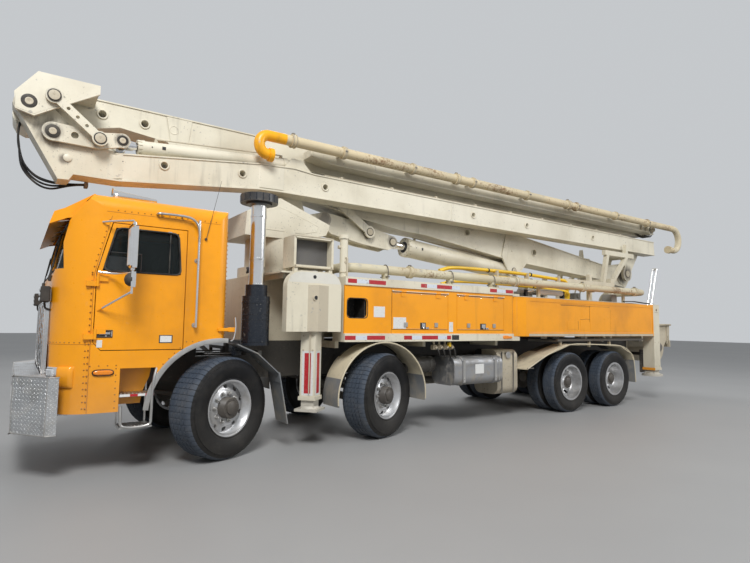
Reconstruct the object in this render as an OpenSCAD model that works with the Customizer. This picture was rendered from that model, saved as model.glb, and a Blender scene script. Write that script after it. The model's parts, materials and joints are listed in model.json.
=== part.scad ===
// Concrete pump truck: four axles, cab over engine, side lockers, swing and slide outriggers,
// and a boom of four sections folded above the deck. X points to the cab, Y to the truck's left.

/* [Axles and wheels] */
// Height of the steered wheels' axles, their rolling radius
steer_r = 545; // [500:5:590]
// Height of the driven wheels' axles, their rolling radius
drive_r = 512; // [480:4:540]
// Section width of a steered tyre
steer_tyre_w = 412; // [360:4:430]
// Section width of a driven tyre
drive_tyre_w = 279; // [250:1:300]
// Distance between the middles of two twin tyres
twin_pitch = 331; // [310:1:350]
// Kingpin to the middle of a steered tyre
kingpin_offset = 115; // [90:5:140]
// Distance of each kingpin from the centreline
kingpin_y = 930; // [900:5:950]
// Middle of the outer driven tyre from the centreline
drive_y = 1068; // [1050:2:1080]
// First axle to second axle
front_spread = 2120; // [2050:10:2200]
// Second axle to third axle
long_spread = 4050; // [3900:10:4200]
// Third axle to fourth axle
tandem_spread = 1343; // [1300:1:1400]
// Angle at which the first axle's wheels stand
steer_1 = 23; // [0:1:25]
// Angle at which the second axle's wheels stand
steer_2 = 19; // [0:1:21]

/* [Chassis] */
// Half width over the rails
rail_y = 430; // [400:5:440]
// Depth of a rail
rail_h = 280; // [240:5:300]
// Underside of the rails
rail_z = 780; // [740:5:800]
// Width of a rail's flange
rail_flange = 85; // [70:1:100]
// Thickness of a rail
rail_t = 10; // [7:1:12]
// Height of the sub-frame on the rails
subframe_h = 180; // [150:5:200]

/* [Cab] */
// Half width of the cab
cab_y = 1220; // [1150:5:1230]
// Wall of the cab and of its doors
cab_wall = 45; // [35:1:55]
// Front face of the cab ahead of the first kingpins
cab_front = 1590; // [1500:10:1600]
// Rear face of the cab behind the first kingpins
cab_rear = 30; // [0:5:60]
// Top of the roof above the ground
cab_top = 2690; // [2600:5:2760]
// Underside of the cab above the wheels
cab_floor_z = 1250; // [1180:5:1260]
// Underside of the cab's nose
cab_nose_z = 600; // [560:5:640]
// Length of a cab door
door_len = 830; // [780:5:860]
// Height of a cab door
door_h = 1240; // [1180:5:1260]
// Gap round a door
door_gap = 8; // [4:1:10]

/* [Lockers and deck] */
// Outer face of the lockers
box_y = 1250; // [1230:2:1260]
// Underside of the lockers
box_z = 1245; // [1230:5:1260]
// Height of the lockers
box_h = 815; // [780:5:830]
// Length of the lockers
box_len = 3110; // [3000:10:3150]
// Depth of the lockers from their outer face
box_deep = 560; // [520:5:600]
// Sheet of the lockers
box_t = 25; // [15:1:35]

/* [Outriggers] */
// Side of a front leg's square tube
front_leg_w = 190; // [170:2:200]
// Angle of the front arms from the truck's length
front_arm_angle = 40; // [36:1:44]
// Length of a front arm behind its leg
front_arm_len = 2450; // [2300:10:2500]
// Length of a rear arm
rear_arm_len = 4250; // [4100:10:4300]
// Side of a rear leg's square tube
rear_leg_w = 200; // [180:2:210]

/* [Boom] */
// Radius of the delivery pipe
pipe_r = 70; // [60:1:72]
// Width of the first boom section
boom_1_w = 376; // [340:2:380]
// Width of the second boom section
boom_2_w = 280; // [260:2:290]
// Width of the third boom section
boom_3_w = 360; // [320:2:370]
// Width of the fourth boom section
boom_4_w = 240; // [200:2:250]
// Plate of the boom sections
boom_t = 12; // [8:1:16]
// Side clearance between boom layers
layer_gap = 10; // [6:1:12]

/* [Hidden] */
$fn = 48;

// Boom pins, as [x, z] from the first axle's wheel faces and the ground
slew_x = -1000;
root_pin = [-1050, 3420];
lever_root_pin = [-1690, 3000];
lever_mid_pin = [-2470, 2890];
rod_eye = [-2960, 2790];
lift_base_pin = [-5810, 2520];
rear_pin = [-9580, 2710];
front_pin = [1980, 3670];
fold_up_pin = [1770, 3770];
fold_lever_pin = [1760, 3420];
fold_low_pin = [1330, 3410];
fold_eye = [1100, 3460];
fold_base_pin = [-1070, 3630];
tail_pin = [-10390, 3800];
// The link runs parallel to the line from the root pin to the lever's root pin
link_top_pin = root_pin + lever_mid_pin - lever_root_pin;

head_r = 150;
tail_reach = 1010;
origin_x = -(front_pin[0] + head_r + tail_pin[0] - tail_reach) / 2;
axle_1_x = 110;
axle_2_x = axle_1_x - front_spread;
axle_3_x = axle_2_x - long_spread;
axle_4_x = axle_3_x - tandem_spread;

// Layers of the boom across the truck
boom_1_y = -50;
boom_1_l = boom_1_y + boom_1_w / 2;
boom_1_r = boom_1_y - boom_1_w / 2;
boom_2_r = 200;
boom_2_l = boom_2_r + boom_2_w;
boom_2_y = boom_2_r + boom_2_w / 2;
boom_3_l = 120;
boom_3_r = boom_3_l - boom_3_w;
boom_4_r = 170;
boom_4_l = boom_4_r + boom_4_w;
clamp_t = 18;
pipe_y = boom_2_l + layer_gap + clamp_t + pipe_r;
plate = 30;

deck_z = box_z + box_h;
rail_top = rail_z + rail_h;
sub_top = rail_top + subframe_h;
box_front_x = -1390;
box_rear_x = box_front_x - box_len;

// Everything is drawn from the first axle's wheel faces and moved to the middle of its length
module place() { translate([origin_x, 0, 0]) children(); }
module both_sides() { children(); mirror([0, 1, 0]) children(); }

// A side view outline given a thickness from y0 to y1
module prism_y(points, y0, y1) {
    translate([0, y1, 0]) rotate([90, 0, 0]) linear_extrude(y1 - y0) polygon(points);
}
// A front view outline, as [y, z], given a length from x0 to x1
module prism_x(points, x0, x1) {
    translate([x0, 0, 0]) rotate([90, 0, 90]) linear_extrude(x1 - x0) polygon(points);
}
module block(x0, x1, y0, y1, z0, z1) { translate([x0, y0, z0]) cube([x1 - x0, y1 - y0, z1 - z0]); }
module pin_y(at, r, y0, y1) { translate([at[0], y1, at[1]]) rotate([90, 0, 0]) cylinder(r = r, h = y1 - y0); }
module bar_x(x0, x1, y, z, r) { translate([x0, y, z]) rotate([0, 90, 0]) cylinder(r = r, h = x1 - x0); }

// A bar of round section from one point to another
module strut(a, b, r) {
    d = b - a;
    translate(a) rotate([0, acos(d[2] / norm(d)), atan2(d[1], d[0])]) cylinder(r = r, h = norm(d));
}
// A flat link in side view, with an eye at each end
module link_y(a, b, ra, rb, waist, y0, y1) {
    d = b - a;
    n = [-d[1], d[0]] / norm(d) * waist;
    prism_y([a + n, b + n, b - n, a - n], y0, y1);
    pin_y(a, ra, y0, y1);
    pin_y(b, rb, y0, y1);
}

// Wheels

// A tyre about the Y axis, its middle at the origin
module tyre(r, w, bead) {
    h = w / 2;
    rotate([90, 0, 0]) rotate_extrude($fn = 72) polygon([
        [bead, -h * 0.78], [bead + 60, -h * 0.94], [(r + bead) / 2 + 20, -h], [r - 70, -h * 0.96],
        [r - 22, -h * 0.84], [r, -h * 0.62], [r, h * 0.62], [r - 22, h * 0.84], [r - 70, h * 0.96],
        [(r + bead) / 2 + 20, h], [bead + 60, h * 0.94], [bead, h * 0.78]]);
}
// A wheel about the Y axis, its middle at the origin: the disc leaves the rim at rim_at and is bolted at face
module disc_wheel(w, rim_at, face, hub_len) {
    h = w / 2;
    mid = (rim_at + face) / 2;
    difference() {
        rotate([-90, 0, 0]) rotate_extrude($fn = 72) polygon([
            [bead_r + 14, -h], [bead_r + 14, -h + 12], [bead_r, -h + 12], [bead_r, h - 12],
            [bead_r + 14, h - 12], [bead_r + 14, h], [bead_r - rim_t, h], [bead_r - rim_t, rim_at + 14],
            [bead_r - 46, mid + 12], [bolt_face_r, face + disc_t], [hub_r, face + disc_t],
            [hub_r, face + hub_len], [0, face + hub_len], [0, face - disc_t], [bolt_face_r, face - disc_t],
            [bead_r - 56, mid - 12], [bead_r - rim_t, rim_at - 14], [bead_r - rim_t, -h]]);
        for (i = [0:9]) rotate([0, i * 36 + 18, 0]) translate([hand_hole_at, min(face, rim_at) - 60, 0])
            rotate([-90, 0, 0]) cylinder(r = hand_hole_r, h = abs(face - rim_at) + 120, $fn = 24);
    }
}
bead_r = 290;
rim_t = 16;
disc_t = 14;
bolt_face_r = 192;
hub_r = 112;
hand_hole_at = 232;
hand_hole_r = 26;
steer_rim_w = 340;
steer_face = 75;
drive_rim_w = 240;
drive_face = -twin_pitch / 2 + disc_t;
run_gap = 0.3;

module at_side(side) { if (side > 0) children(); else mirror([0, 1, 0]) children(); }
// What is carried by a knuckle, seen as on the left: the kingpin is at the origin
module steered(axle_x, turn, side) {
    place() translate([axle_x, side * kingpin_y, steer_r]) rotate([0, 0, turn]) at_side(side) children();
}
module steer_wheel(axle_x, turn, side) {
    steered(axle_x, turn, side) translate([0, kingpin_offset, 0]) {
        color("#1d1c1b") tyre(steer_r, steer_tyre_w, bead_r);
        color("silver") disc_wheel(steer_rim_w, steer_face - 40, steer_face, 105);
    }
}
module twin(axle_x, side) {
    place() translate([axle_x, side * drive_y, drive_r]) at_side(side) {
        for (y = [0, -twin_pitch]) color("#1d1c1b") translate([0, y, 0]) tyre(drive_r, drive_tyre_w, bead_r);
        color("silver") {
            disc_wheel(drive_rim_w, -60, drive_face, 190);
            translate([0, -twin_pitch, 0]) mirror([0, 1, 0]) disc_wheel(drive_rim_w, -60, drive_face, 40);
        }
    }
}

// Axles and knuckles

eye_h = 130;
fork_t = 45;
spindle_end = kingpin_offset + steer_face - disc_t - run_gap;
module knuckle(axle_x, turn, side) {
    color("#3a3938") steered(axle_x, turn, side) {
        for (s = [-1, 1]) translate([0, 0, s * (eye_h / 2 + fork_t / 2 + 4)])
            block(-60, 60, -58, 100, -fork_t / 2, fork_t / 2);
        translate([0, 0, -eye_h / 2 - fork_t - 4]) cylinder(r = 38, h = eye_h + 2 * fork_t + 8);
        block(-75, 75, 72, 100, -eye_h / 2 - fork_t - 4, eye_h / 2 + fork_t + 4);
        translate([0, 98, 0]) rotate([-90, 0, 0]) cylinder(r = 188, h = spindle_end - 98 - 14);
        translate([0, 98, 0]) rotate([-90, 0, 0]) cylinder(r = 90, h = spindle_end - 98);
        block(-210, -40, -58, -20, -eye_h / 2 - fork_t - 20, -eye_h / 2 - 30);
    }
}
spring_y = rail_y - rail_flange / 2;
beam_z = steer_r - 110;
module front_beam(axle_x) {
    translate([axle_x, 0, 0]) {
        both_sides() {
            translate([0, kingpin_y, steer_r - eye_h / 2]) difference() {
                cylinder(r = 62, h = eye_h);
                translate([0, 0, -1]) cylinder(r = 40, h = eye_h + 2);
            }
            prism_x([[620, beam_z - 45], [kingpin_y - 50, steer_r - 45], [kingpin_y - 50, steer_r + 45],
                [600, beam_z + 45]], -45, 45);
            // Leaf spring with its hangers up to the rail
            prism_y([[-680, rail_z - 90], [0, beam_z + 105], [680, rail_z - 90], [680, rail_z - 60],
                [0, beam_z + 170], [-680, rail_z - 60]], spring_y - 40, spring_y + 40);
            for (x = [-680, 680]) block(x - 45, x + 45, spring_y - 42, spring_y + 42, rail_z - 110, rail_z);
            block(-70, 70, spring_y - 55, spring_y + 55, beam_z + 40, beam_z + 110);
        }
        block(-45, 45, -622, 622, beam_z - 45, beam_z + 45);
    }
}
axle_end_y = drive_y - twin_pitch - (drive_face + 40) - run_gap;
module rear_axle(axle_x) {
    translate([axle_x, 0, drive_r]) {
        both_sides() {
            rotate([-90, 0, 0]) cylinder(r = 72, h = axle_end_y);
            translate([0, axle_end_y - 150, 0]) rotate([-90, 0, 0]) cylinder(r = 200, h = 146);
            block(-70, 70, spring_y - 55, spring_y + 55, 55, 120);
        }
        rotate([-90, 0, 0]) translate([0, 0, -150]) cylinder(r = 205, h = 300);
        rotate([0, 90, 0]) cylinder(r = 110, h = 330);
    }
}
module axles() {
    color("#35332f") place() {
        front_beam(axle_1_x);
        front_beam(axle_2_x);
        rear_axle(axle_3_x);
        rear_axle(axle_4_x);
        mid_x = (axle_3_x + axle_4_x) / 2;
        both_sides() {
            // Leaf pack that rocks on the bogie's centre bracket
            prism_y([[axle_3_x + 80, drive_r + 118], [mid_x, drive_r + 60], [axle_4_x - 80, drive_r + 118],
                [axle_4_x - 80, drive_r + 150], [mid_x, drive_r + 190], [axle_3_x + 80, drive_r + 150]],
                spring_y - 40, spring_y + 40);
            prism_y([[mid_x - 90, drive_r + 40], [mid_x + 90, drive_r + 40], [mid_x + 190, rail_z],
                [mid_x - 190, rail_z]], spring_y - 50, spring_y + 42);
        }
        bar_x(axle_4_x + 250, axle_3_x - 100, 0, drive_r + 20, 45);
        bar_x(axle_3_x + 300, axle_2_x - 400, 0, drive_r + 50, 50);
    }
}

// Chassis

cab_front_x = axle_1_x + cab_front;
cab_rear_x = axle_1_x - cab_rear;
frame_front = cab_front_x - 120;
frame_rear = -9150;
module channel(x0, x1, z0, h, flange, t) {
    prism_x([[rail_y, z0], [rail_y, z0 + h], [rail_y - flange, z0 + h], [rail_y - flange, z0 + h - t],
        [rail_y - t, z0 + h - t], [rail_y - t, z0 + t], [rail_y - flange, z0 + t], [rail_y - flange, z0]], x0, x1);
}
cross_x = [1350, -650, -1500, -2900, -4400, -5350, -6730, -8050, -9000];
module chassis_frame() {
    color("#2c2a28") place() {
        both_sides() {
            channel(frame_rear, frame_front, rail_z, rail_h, rail_flange, rail_t);
            block(frame_rear, pedestal_x[1], rail_y - rail_flange, rail_y, rail_top, sub_top);
        }
        // Cab mounts
        both_sides() for (x = [cab_rear_x + 100, cab_front_x - 340])
            block(x, x + 120, rail_y - rail_flange, rail_y, rail_top, cab_floor_z);
        for (x = cross_x) translate([x, 0, 0]) {
            block(-6, 6, -rail_y + rail_t, rail_y - rail_t, rail_z + 40, rail_top - 40);
            for (z = [rail_z + 40, rail_top - 50]) block(-60, 60, -rail_y + rail_t, rail_y - rail_t, z, z + 10);
        }
    }
}
module engine() {
    color("#50504c") place() {
        block(cab_rear_x + 60, cab_rear_x + 1100, -310, 310, 640, 1560);
        // Radiator behind the grille
        block(cab_front_x - 200, cab_front_x - 130, -330, 330, 680, cab_floor_z - 10);
    }
}

// Cab

roof_r = 132;
nose_r = 380;
rear_r = 110;
arch_r = 705;
arch_x = axle_1_x + 30;
floor_t = 45;
sill_z = cab_floor_z - 100;
door_rear_x = cab_front_x - 1170;
door_front_x = door_rear_x + door_len;
door_z = 1180;
glass_t = 6;

// A rectangle from a to b whose four corners have their own radii, first the one at a, then round it
module round_rect(a, b, r) {
    corners = [a, [b[0], a[1]], b, [a[0], b[1]]];
    difference() {
        translate(a) square(b - a);
        for (i = [0:3]) if (r[i] > 0) translate(corners[i]) rotate(i * 90) difference() {
            translate([-1, -1]) square(r[i] + 1);
            translate([r[i], r[i]]) circle(r = r[i]);
        }
    }
}
// The cab's outer form, set in by a wall all round
module cab_form(inset, z0) {
    intersection() {
        translate([0, 0, z0]) linear_extrude(cab_top) round_rect(
            [cab_rear_x + inset, -cab_y + inset], [cab_front_x - inset, cab_y - inset],
            [rear_r - inset, nose_r - inset, nose_r - inset, rear_r - inset]);
        prism_y([[cab_rear_x + inset, z0], [cab_rear_x + inset, cab_top - inset],
            [cab_front_x - 300 - inset, cab_top - inset], [cab_front_x - 110 - inset, cab_top - 260],
            [cab_front_x - inset, cab_top - 840], [cab_front_x - 20 - inset, 900], [cab_front_x - 60 - inset, z0]],
            -cab_y, cab_y);
        rotate([90, 0, 90]) linear_extrude(3000) round_rect(
            [-cab_y + inset, z0], [cab_y - inset, cab_top - inset], [0, 0, roof_r - inset, roof_r - inset]);
    }
}
// A door's outline in side view, set in by a gap
module door_outline(inset) {
    polygon([[door_rear_x + inset, door_z + inset], [door_front_x - 70, door_z + inset],
        [door_front_x - inset, door_z + 80], [door_front_x - inset, door_z + 750],
        [door_front_x - 118 - inset, door_z + door_h - inset], [door_rear_x + inset, door_z + door_h - inset]]);
}
module window_outline(inset) {
    polygon([[door_rear_x + 55 + inset, door_z + 765 + inset], [door_front_x - 50 - inset, door_z + 765 + inset],
        [door_front_x - 150 - inset, door_z + door_h - 50 - inset],
        [door_rear_x + 90 + inset, door_z + door_h - 50 - inset]]);
}
door_hinge = [door_front_x - 15, cab_y + 15];
door_hinge_z = [1290, 1790];
knuckle_h = 50;
module through_y(y0, y1) { translate([0, y1, 0]) rotate([90, 0, 0]) linear_extrude(y1 - y0) children(); }
screen_z = [cab_top - 745, cab_top - 285];
module cab_shell() {
    color("#f2a516") place() difference() {
        union() {
            difference() {
                cab_form(0, sill_z);
                cab_form(cab_wall, cab_floor_z + floor_t);
                // The floor's underside between the side walls
                intersection() {
                    cab_form(cab_wall, sill_z - 1);
                    block(0, cab_front_x, -cab_y, cab_y, 0, cab_floor_z);
                }
            }
            difference() {
                intersection() {
                    cab_form(0, cab_nose_z);
                    block(arch_x, cab_front_x, -cab_y, cab_y, cab_nose_z, cab_floor_z + 1);
                }
                intersection() {
                    cab_form(cab_wall, cab_nose_z - 1);
                    block(0, cab_front_x, -cab_y, cab_y, 0, cab_floor_z);
                }
            }
        }
        // Wheel arches, and the well of the engine in the floor
        pin_y([arch_x, steer_r], arch_r, -cab_y - 1, cab_y + 1);
        block(cab_rear_x + 55, cab_rear_x + 1110, -325, 325, cab_floor_z - 1, cab_floor_z + floor_t + 1);
        // Two windscreens, rear window, doors, radiator and step wells
        for (s = [-1, 1]) prism_x([[s * 28, screen_z[0]], [s * 1075, screen_z[0] + 8], [s * 1040, screen_z[1]],
            [s * 28, screen_z[1] + 25]], cab_front_x - 480, cab_front_x + 10);
        block(0, cab_rear_x + 100, -380, 380, screen_z[0] + 40, screen_z[1]);
        both_sides() {
            through_y(cab_y - cab_wall - 5, cab_y + 5) door_outline(0);
            block(door_front_x - 585, door_front_x - 250, cab_y - 300, cab_y + 5, cab_nose_z - 5, 1010);
        }
        block(cab_front_x - 110, cab_front_x + 10, -700, 700, 870, cab_floor_z - 30);
    }
    // Door hinges
    color("#f2a516") place() both_sides() for (z = door_hinge_z) {
        translate([door_hinge[0], door_hinge[1], z]) {
            cylinder(r = 15, h = knuckle_h);
            cylinder(r = 8, h = 2 * knuckle_h);
        }
        block(door_hinge[0], door_hinge[0] + 95, cab_y + 2, door_hinge[1] + 4, z, z + knuckle_h);
        block(door_front_x + 1, door_hinge[0] + 95, cab_y - 25, cab_y + 3, z, z + knuckle_h);
    }
}
module door(side) {
    color("#f2a516") place() at_side(side) {
        difference() {
            through_y(cab_y - cab_wall, cab_y) door_outline(door_gap);
            through_y(cab_y - cab_wall - 5, cab_y + 5) window_outline(0);
        }
        for (z = door_hinge_z) difference() {
            union() {
                translate([door_hinge[0], door_hinge[1], z + knuckle_h + run_gap]) cylinder(r = 15, h = knuckle_h);
                block(door_hinge[0] - 90, door_hinge[0], cab_y - 5, door_hinge[1] + 4, z + knuckle_h + run_gap,
                    z + 2 * knuckle_h + run_gap);
            }
            translate([door_hinge[0], door_hinge[1], z]) cylinder(r = 8 + run_gap, h = 200);
        }
        mirror_x = door_front_x - 270;
        mirror_y = cab_y + 270;
        block(mirror_x - 20, mirror_x + 20, mirror_y - 90, mirror_y + 90, 1960, 2350);
        block(mirror_x - 20, mirror_x + 20, mirror_y - 60, mirror_y + 60, 1780, 1925);
        strut([mirror_x, mirror_y, 1720], [mirror_x, mirror_y, 2395], 11);
        strut([mirror_x, cab_y - 5, 2395], [mirror_x, mirror_y, 2395], 11);
        strut([door_front_x - 30, cab_y - 5, 1560], [mirror_x, mirror_y, 1740], 11);
    }
}
module door_glass(side) {
    color("#8fb0b8") place() at_side(side)
        through_y(cab_y - cab_wall / 2 - glass_t, cab_y - cab_wall / 2) window_outline(run_gap);
}
module cab_glass() {
    color("#8fb0b8") place() {
        // Windscreens set in the raked front, following its corner
        intersection() {
            difference() { cab_form(18, screen_z[0]); cab_form(18 + glass_t, screen_z[0] - 1); }
            for (s = [-1, 1]) prism_x([[s * 28.3, screen_z[0] + 0.3], [s * 1074, screen_z[0] + 8.3],
                [s * 1039, screen_z[1] - 0.3], [s * 28.3, screen_z[1] + 24]], cab_front_x - 480, cab_front_x + 10);
        }
        block(cab_rear_x + 18, cab_rear_x + 18 + glass_t, -379.7, 379.7, screen_z[0] + 40.3, screen_z[1] - 0.3);
    }
}
module cab_interior() {
    fz = cab_floor_z + floor_t;
    hood_front = cab_rear_x + 1150;
    color("#3b3733") place() intersection() {
        cab_form(cab_wall + run_gap, fz);
        cab_furniture(fz, hood_front);
    }
}
module cab_furniture(fz, hood_front) {
    difference() {
        union() {
            block(cab_rear_x, cab_front_x, -cab_y, cab_y, fz, fz + 12);
            block(cab_rear_x + cab_wall, hood_front, -370, 370, fz, 1625);
            both_sides() {
                block(500, 960, 490, 960, fz, 1600);
                block(480, 1010, 470, 980, 1600, 1740);
                prism_y([[400, 1740], [540, 1740], [430, 2340], [310, 2340]], 480, 970);
            }
            prism_y([[1380, fz], [1560, fz], [1610, 1800], [1520, 1900], [1330, 1880], [1340, 1700]], -1090, 1090);
            strut([1340, 725, 1760], [1130, 725, 1890], 26);
            translate([1120, 725, 1897]) rotate([0, -32, 0]) {
                rotate_extrude() translate([225, 0]) circle(r = 15, $fn = 24);
                cylinder(r = 55, h = 20, center = true);
                for (a = [30, 150, 270]) rotate(a) translate([0, -14, -5]) cube([225, 28, 10]);
            }
        }
        block(0, hood_front - 35, -326, 326, fz - 1, 1590);
    }
}
module grille() {
    y1 = 820;
    z0 = 830;
    z1 = 1650;
    w = 34;
    x0 = cab_front_x + run_gap;
    color("#c9ccce") place() {
        difference() {
            block(x0, x0 + 35, -y1, y1, z0, z1);
            block(x0 - 5, x0 + 40, -y1 + w, y1 - w, z0 + w, z1 - w);
        }
        // Crossed bars, one layer behind the other
        step = 110;
        for (layer = [0, 1]) intersection() {
            block(x0 + 6 + layer * 10, x0 + 16 + layer * 10, -y1 + w / 2, y1 - w / 2, z0 + w / 2, z1 - w / 2);
            for (i = [-11:11]) translate([x0, i * step, (z0 + z1) / 2]) rotate([layer == 0 ? 45 : -45, 0, 0])
                translate([0, -8, -900]) cube([60, 16, 1800]);
        }
    }
}
bumper_z = 430;
bumper_h = 520;
module bumper() {
    outer = [[1610, -1240], [1700, -1240], [1950, -900], [1960, 0], [1950, 900], [1700, 1240], [1610, 1240]];
    inner = [[1600, -1230], [1695, -1230], [1940, -895], [1950, 0], [1940, 895], [1695, 1230], [1600, 1230]];
    color("#b9bcbe") place() {
        difference() {
            translate([0, 0, bumper_z]) linear_extrude(bumper_h) polygon(outer);
            translate([0, 0, bumper_z - 1]) linear_extrude(bumper_h - 9) polygon(inner);
            block(1500, cab_front_x + 5, -cab_y + 5, cab_y - 5, bumper_z, bumper_z + bumper_h + 1);
            block(1500, cab_front_x + 45, -840, 840, bumper_z, bumper_z + bumper_h + 1);
        }
        both_sides() {
            block(frame_front - 120, frame_front, rail_y - rail_flange, rail_y, 480, rail_z);
            block(frame_front - 120, 1945, rail_y - rail_flange, rail_y, 480, 585);
        }
    }
}
module cab_fittings() {
    color("#d0d2d3") place() {
        both_sides() {
            // Step treads in the well and the looped step below it
            block(790, 1105, cab_y - 240, cab_y - 5, 735, 760);
            block(800, 1095, cab_y - 240, cab_y - 5, 430, 450);
            for (x = [815, 1080]) block(x, x + 15, cab_y - 260, cab_y - 240, 430, 1010);
            // Grab rail behind the door
            strut([430, cab_y, 2520], [430, cab_y + 60, 2520], 12);
            strut([430, cab_y + 60, 1420], [430, cab_y + 60, 2520], 12);
            strut([430, cab_y, 1420], [430, cab_y + 60, 1420], 12);
        }
        // Visor over the screens
        difference() {
            prism_y([[cab_front_x - 420, cab_top - 60], [cab_front_x - 300, cab_top + 5],
                [cab_front_x + 30, cab_top - 230], [cab_front_x + 60, cab_top - 330],
                [cab_front_x - 75, cab_top - 262], [cab_front_x - 285, cab_top - 12]], -1120, 1120);
            cab_form(-0.3, cab_nose_z);
        }
        // Air horn and marker wedge on the roof
        translate([790, 900, cab_top + 60]) rotate([0, 90, 0]) cylinder(r1 = 18, r2 = 55, h = 400);
        block(820, 860, 885, 915, cab_top, cab_top + 60);
        prism_y([[800, cab_top], [820, cab_top + 50], [960, cab_top + 90], [1020, cab_top]], 640, 760);
    }
}
stack_at = [-310, 1040];
module air_stack() {
    color("#1b2433") place() {
        translate([stack_at[0], stack_at[1], 0]) {
            translate([0, 0, 1210]) cylinder(r = 158, h = 560);
            translate([0, 0, 1770]) cylinder(r = 125, h = 130);
            translate([0, 0, 1900]) cylinder(r = 88, h = 950);
            translate([0, 0, 2835]) cylinder(r = 150, h = 40);
            translate([0, 0, 2855]) cylinder(r = 215, h = 95);
        }
        block(stack_at[0] - 60, stack_at[0] + 60, rail_y, stack_at[1], 1215, 1255);
        block(stack_at[0] - 60, stack_at[0] + 60, rail_y - rail_flange, rail_y + 40, rail_top, 1255);
    }
}

// Deck

inner_y = 690;
locker_wall_y = box_y - 15;
locker_open = [for (x = [box_rear_x + 1380, box_rear_x + 210]) [x, x + 1000]];
locker_open_z = [1400, 1905];
locker_hinge = [locker_wall_y + 11, locker_open_z[1] + 8];
module locker_body() {
    difference() {
        union() {
            block(box_front_x - 330, box_front_x, box_y - 300, locker_wall_y, box_z, deck_z);
            block(box_rear_x, box_front_x - 300, inner_y, locker_wall_y, box_z, deck_z);
        }
        block(box_front_x - 310, box_front_x - box_t, box_y - 300 + box_t, locker_wall_y - box_t, box_z + box_t,
            deck_z - box_t);
        block(box_rear_x + box_t, box_front_x - 300 - box_t, inner_y + box_t, locker_wall_y - box_t, box_z + box_t,
            deck_z - box_t);
    }
    // Upper and lower rails
    block(box_rear_x, box_front_x, locker_wall_y - 1, box_y, deck_z - 103, deck_z);
    block(box_rear_x, box_front_x, locker_wall_y - 1, box_y, box_z, box_z + 105);
    // Brackets to the sub-frame
    for (x = [-1450, -2900, -4400]) block(x, x + 50, rail_y, box_y - 250, box_z - 85, box_z);
}
module deck_lockers() {
    color("#e8dcb8") place() {
        difference() {
            locker_body();
            for (at = locker_open)
                block(at[0], at[1], locker_wall_y - box_t - 5, locker_wall_y + 5, locker_open_z[0], locker_open_z[1]);
            // Rounded opening at the front end
            through_y(locker_wall_y - box_t - 5, locker_wall_y + 5)
                round_rect([-1730, 1550], [-1430, 1790], [50, 50, 50, 50]);
        }
        for (at = locker_open) {
            bar_x(at[0], at[1], locker_hinge[0], locker_hinge[1], 5);
            for (x = [at[0], at[1] - 20]) block(x, x + 20, locker_wall_y - 5, locker_hinge[0] + 4,
                locker_hinge[1] - 4, locker_hinge[1] + 12);
        }
        mirror([0, 1, 0]) locker_body();
        block(box_rear_x, -1660, -inner_y - 1, inner_y + 1, 2000, 2012);
    }
}
module locker_door(at) {
    color("#f2a516") place() {
        block(at[0] + 6, at[1] - 6, locker_wall_y - box_t, locker_wall_y, locker_open_z[0] + 6, locker_open_z[1] - 6);
        for (x = [at[0] + 150, at[1] - 230]) difference() {
            union() {
                bar_x(x, x + 80, locker_hinge[0], locker_hinge[1], 10);
                block(x, x + 80, locker_wall_y - 1, locker_wall_y + 8, locker_open_z[1] - 60, locker_open_z[1] - 6);
                block(x, x + 80, locker_wall_y + 1, locker_wall_y + 8, locker_open_z[1] - 7, locker_hinge[1]);
            }
            bar_x(x - 1, x + 81, locker_hinge[0], locker_hinge[1], 5 + run_gap);
        }
        // Two turn latches
        for (x = [at[0] + 200, at[1] - 260]) block(x, x + 60, locker_wall_y - 1, locker_wall_y + 12,
            locker_open_z[0] + 40, locker_open_z[0] + 100);
    }
}
cooler_z = deck_z + 30;
module cooler() {
    color("#e8dcb8") place() {
        difference() {
            block(-1310, -760, 760, 1075, cooler_z + 60, cooler_z + 450);
            block(-1280, -790, 730, 1100, cooler_z + 90, cooler_z + 420);
        }
        block(-1285, -785, 900, 950, cooler_z + 85, cooler_z + 425);
        for (x = [-1300, -820]) for (y = [770, 1015]) block(x, x + 50, y, y + 50, cooler_z, cooler_z + 65);
        translate([-1440, 1110, deck_z]) {
            cylinder(r = 52, h = 500);
            translate([0, 0, 490]) cylinder(r = 66, h = 50);
        }
    }
}

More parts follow.
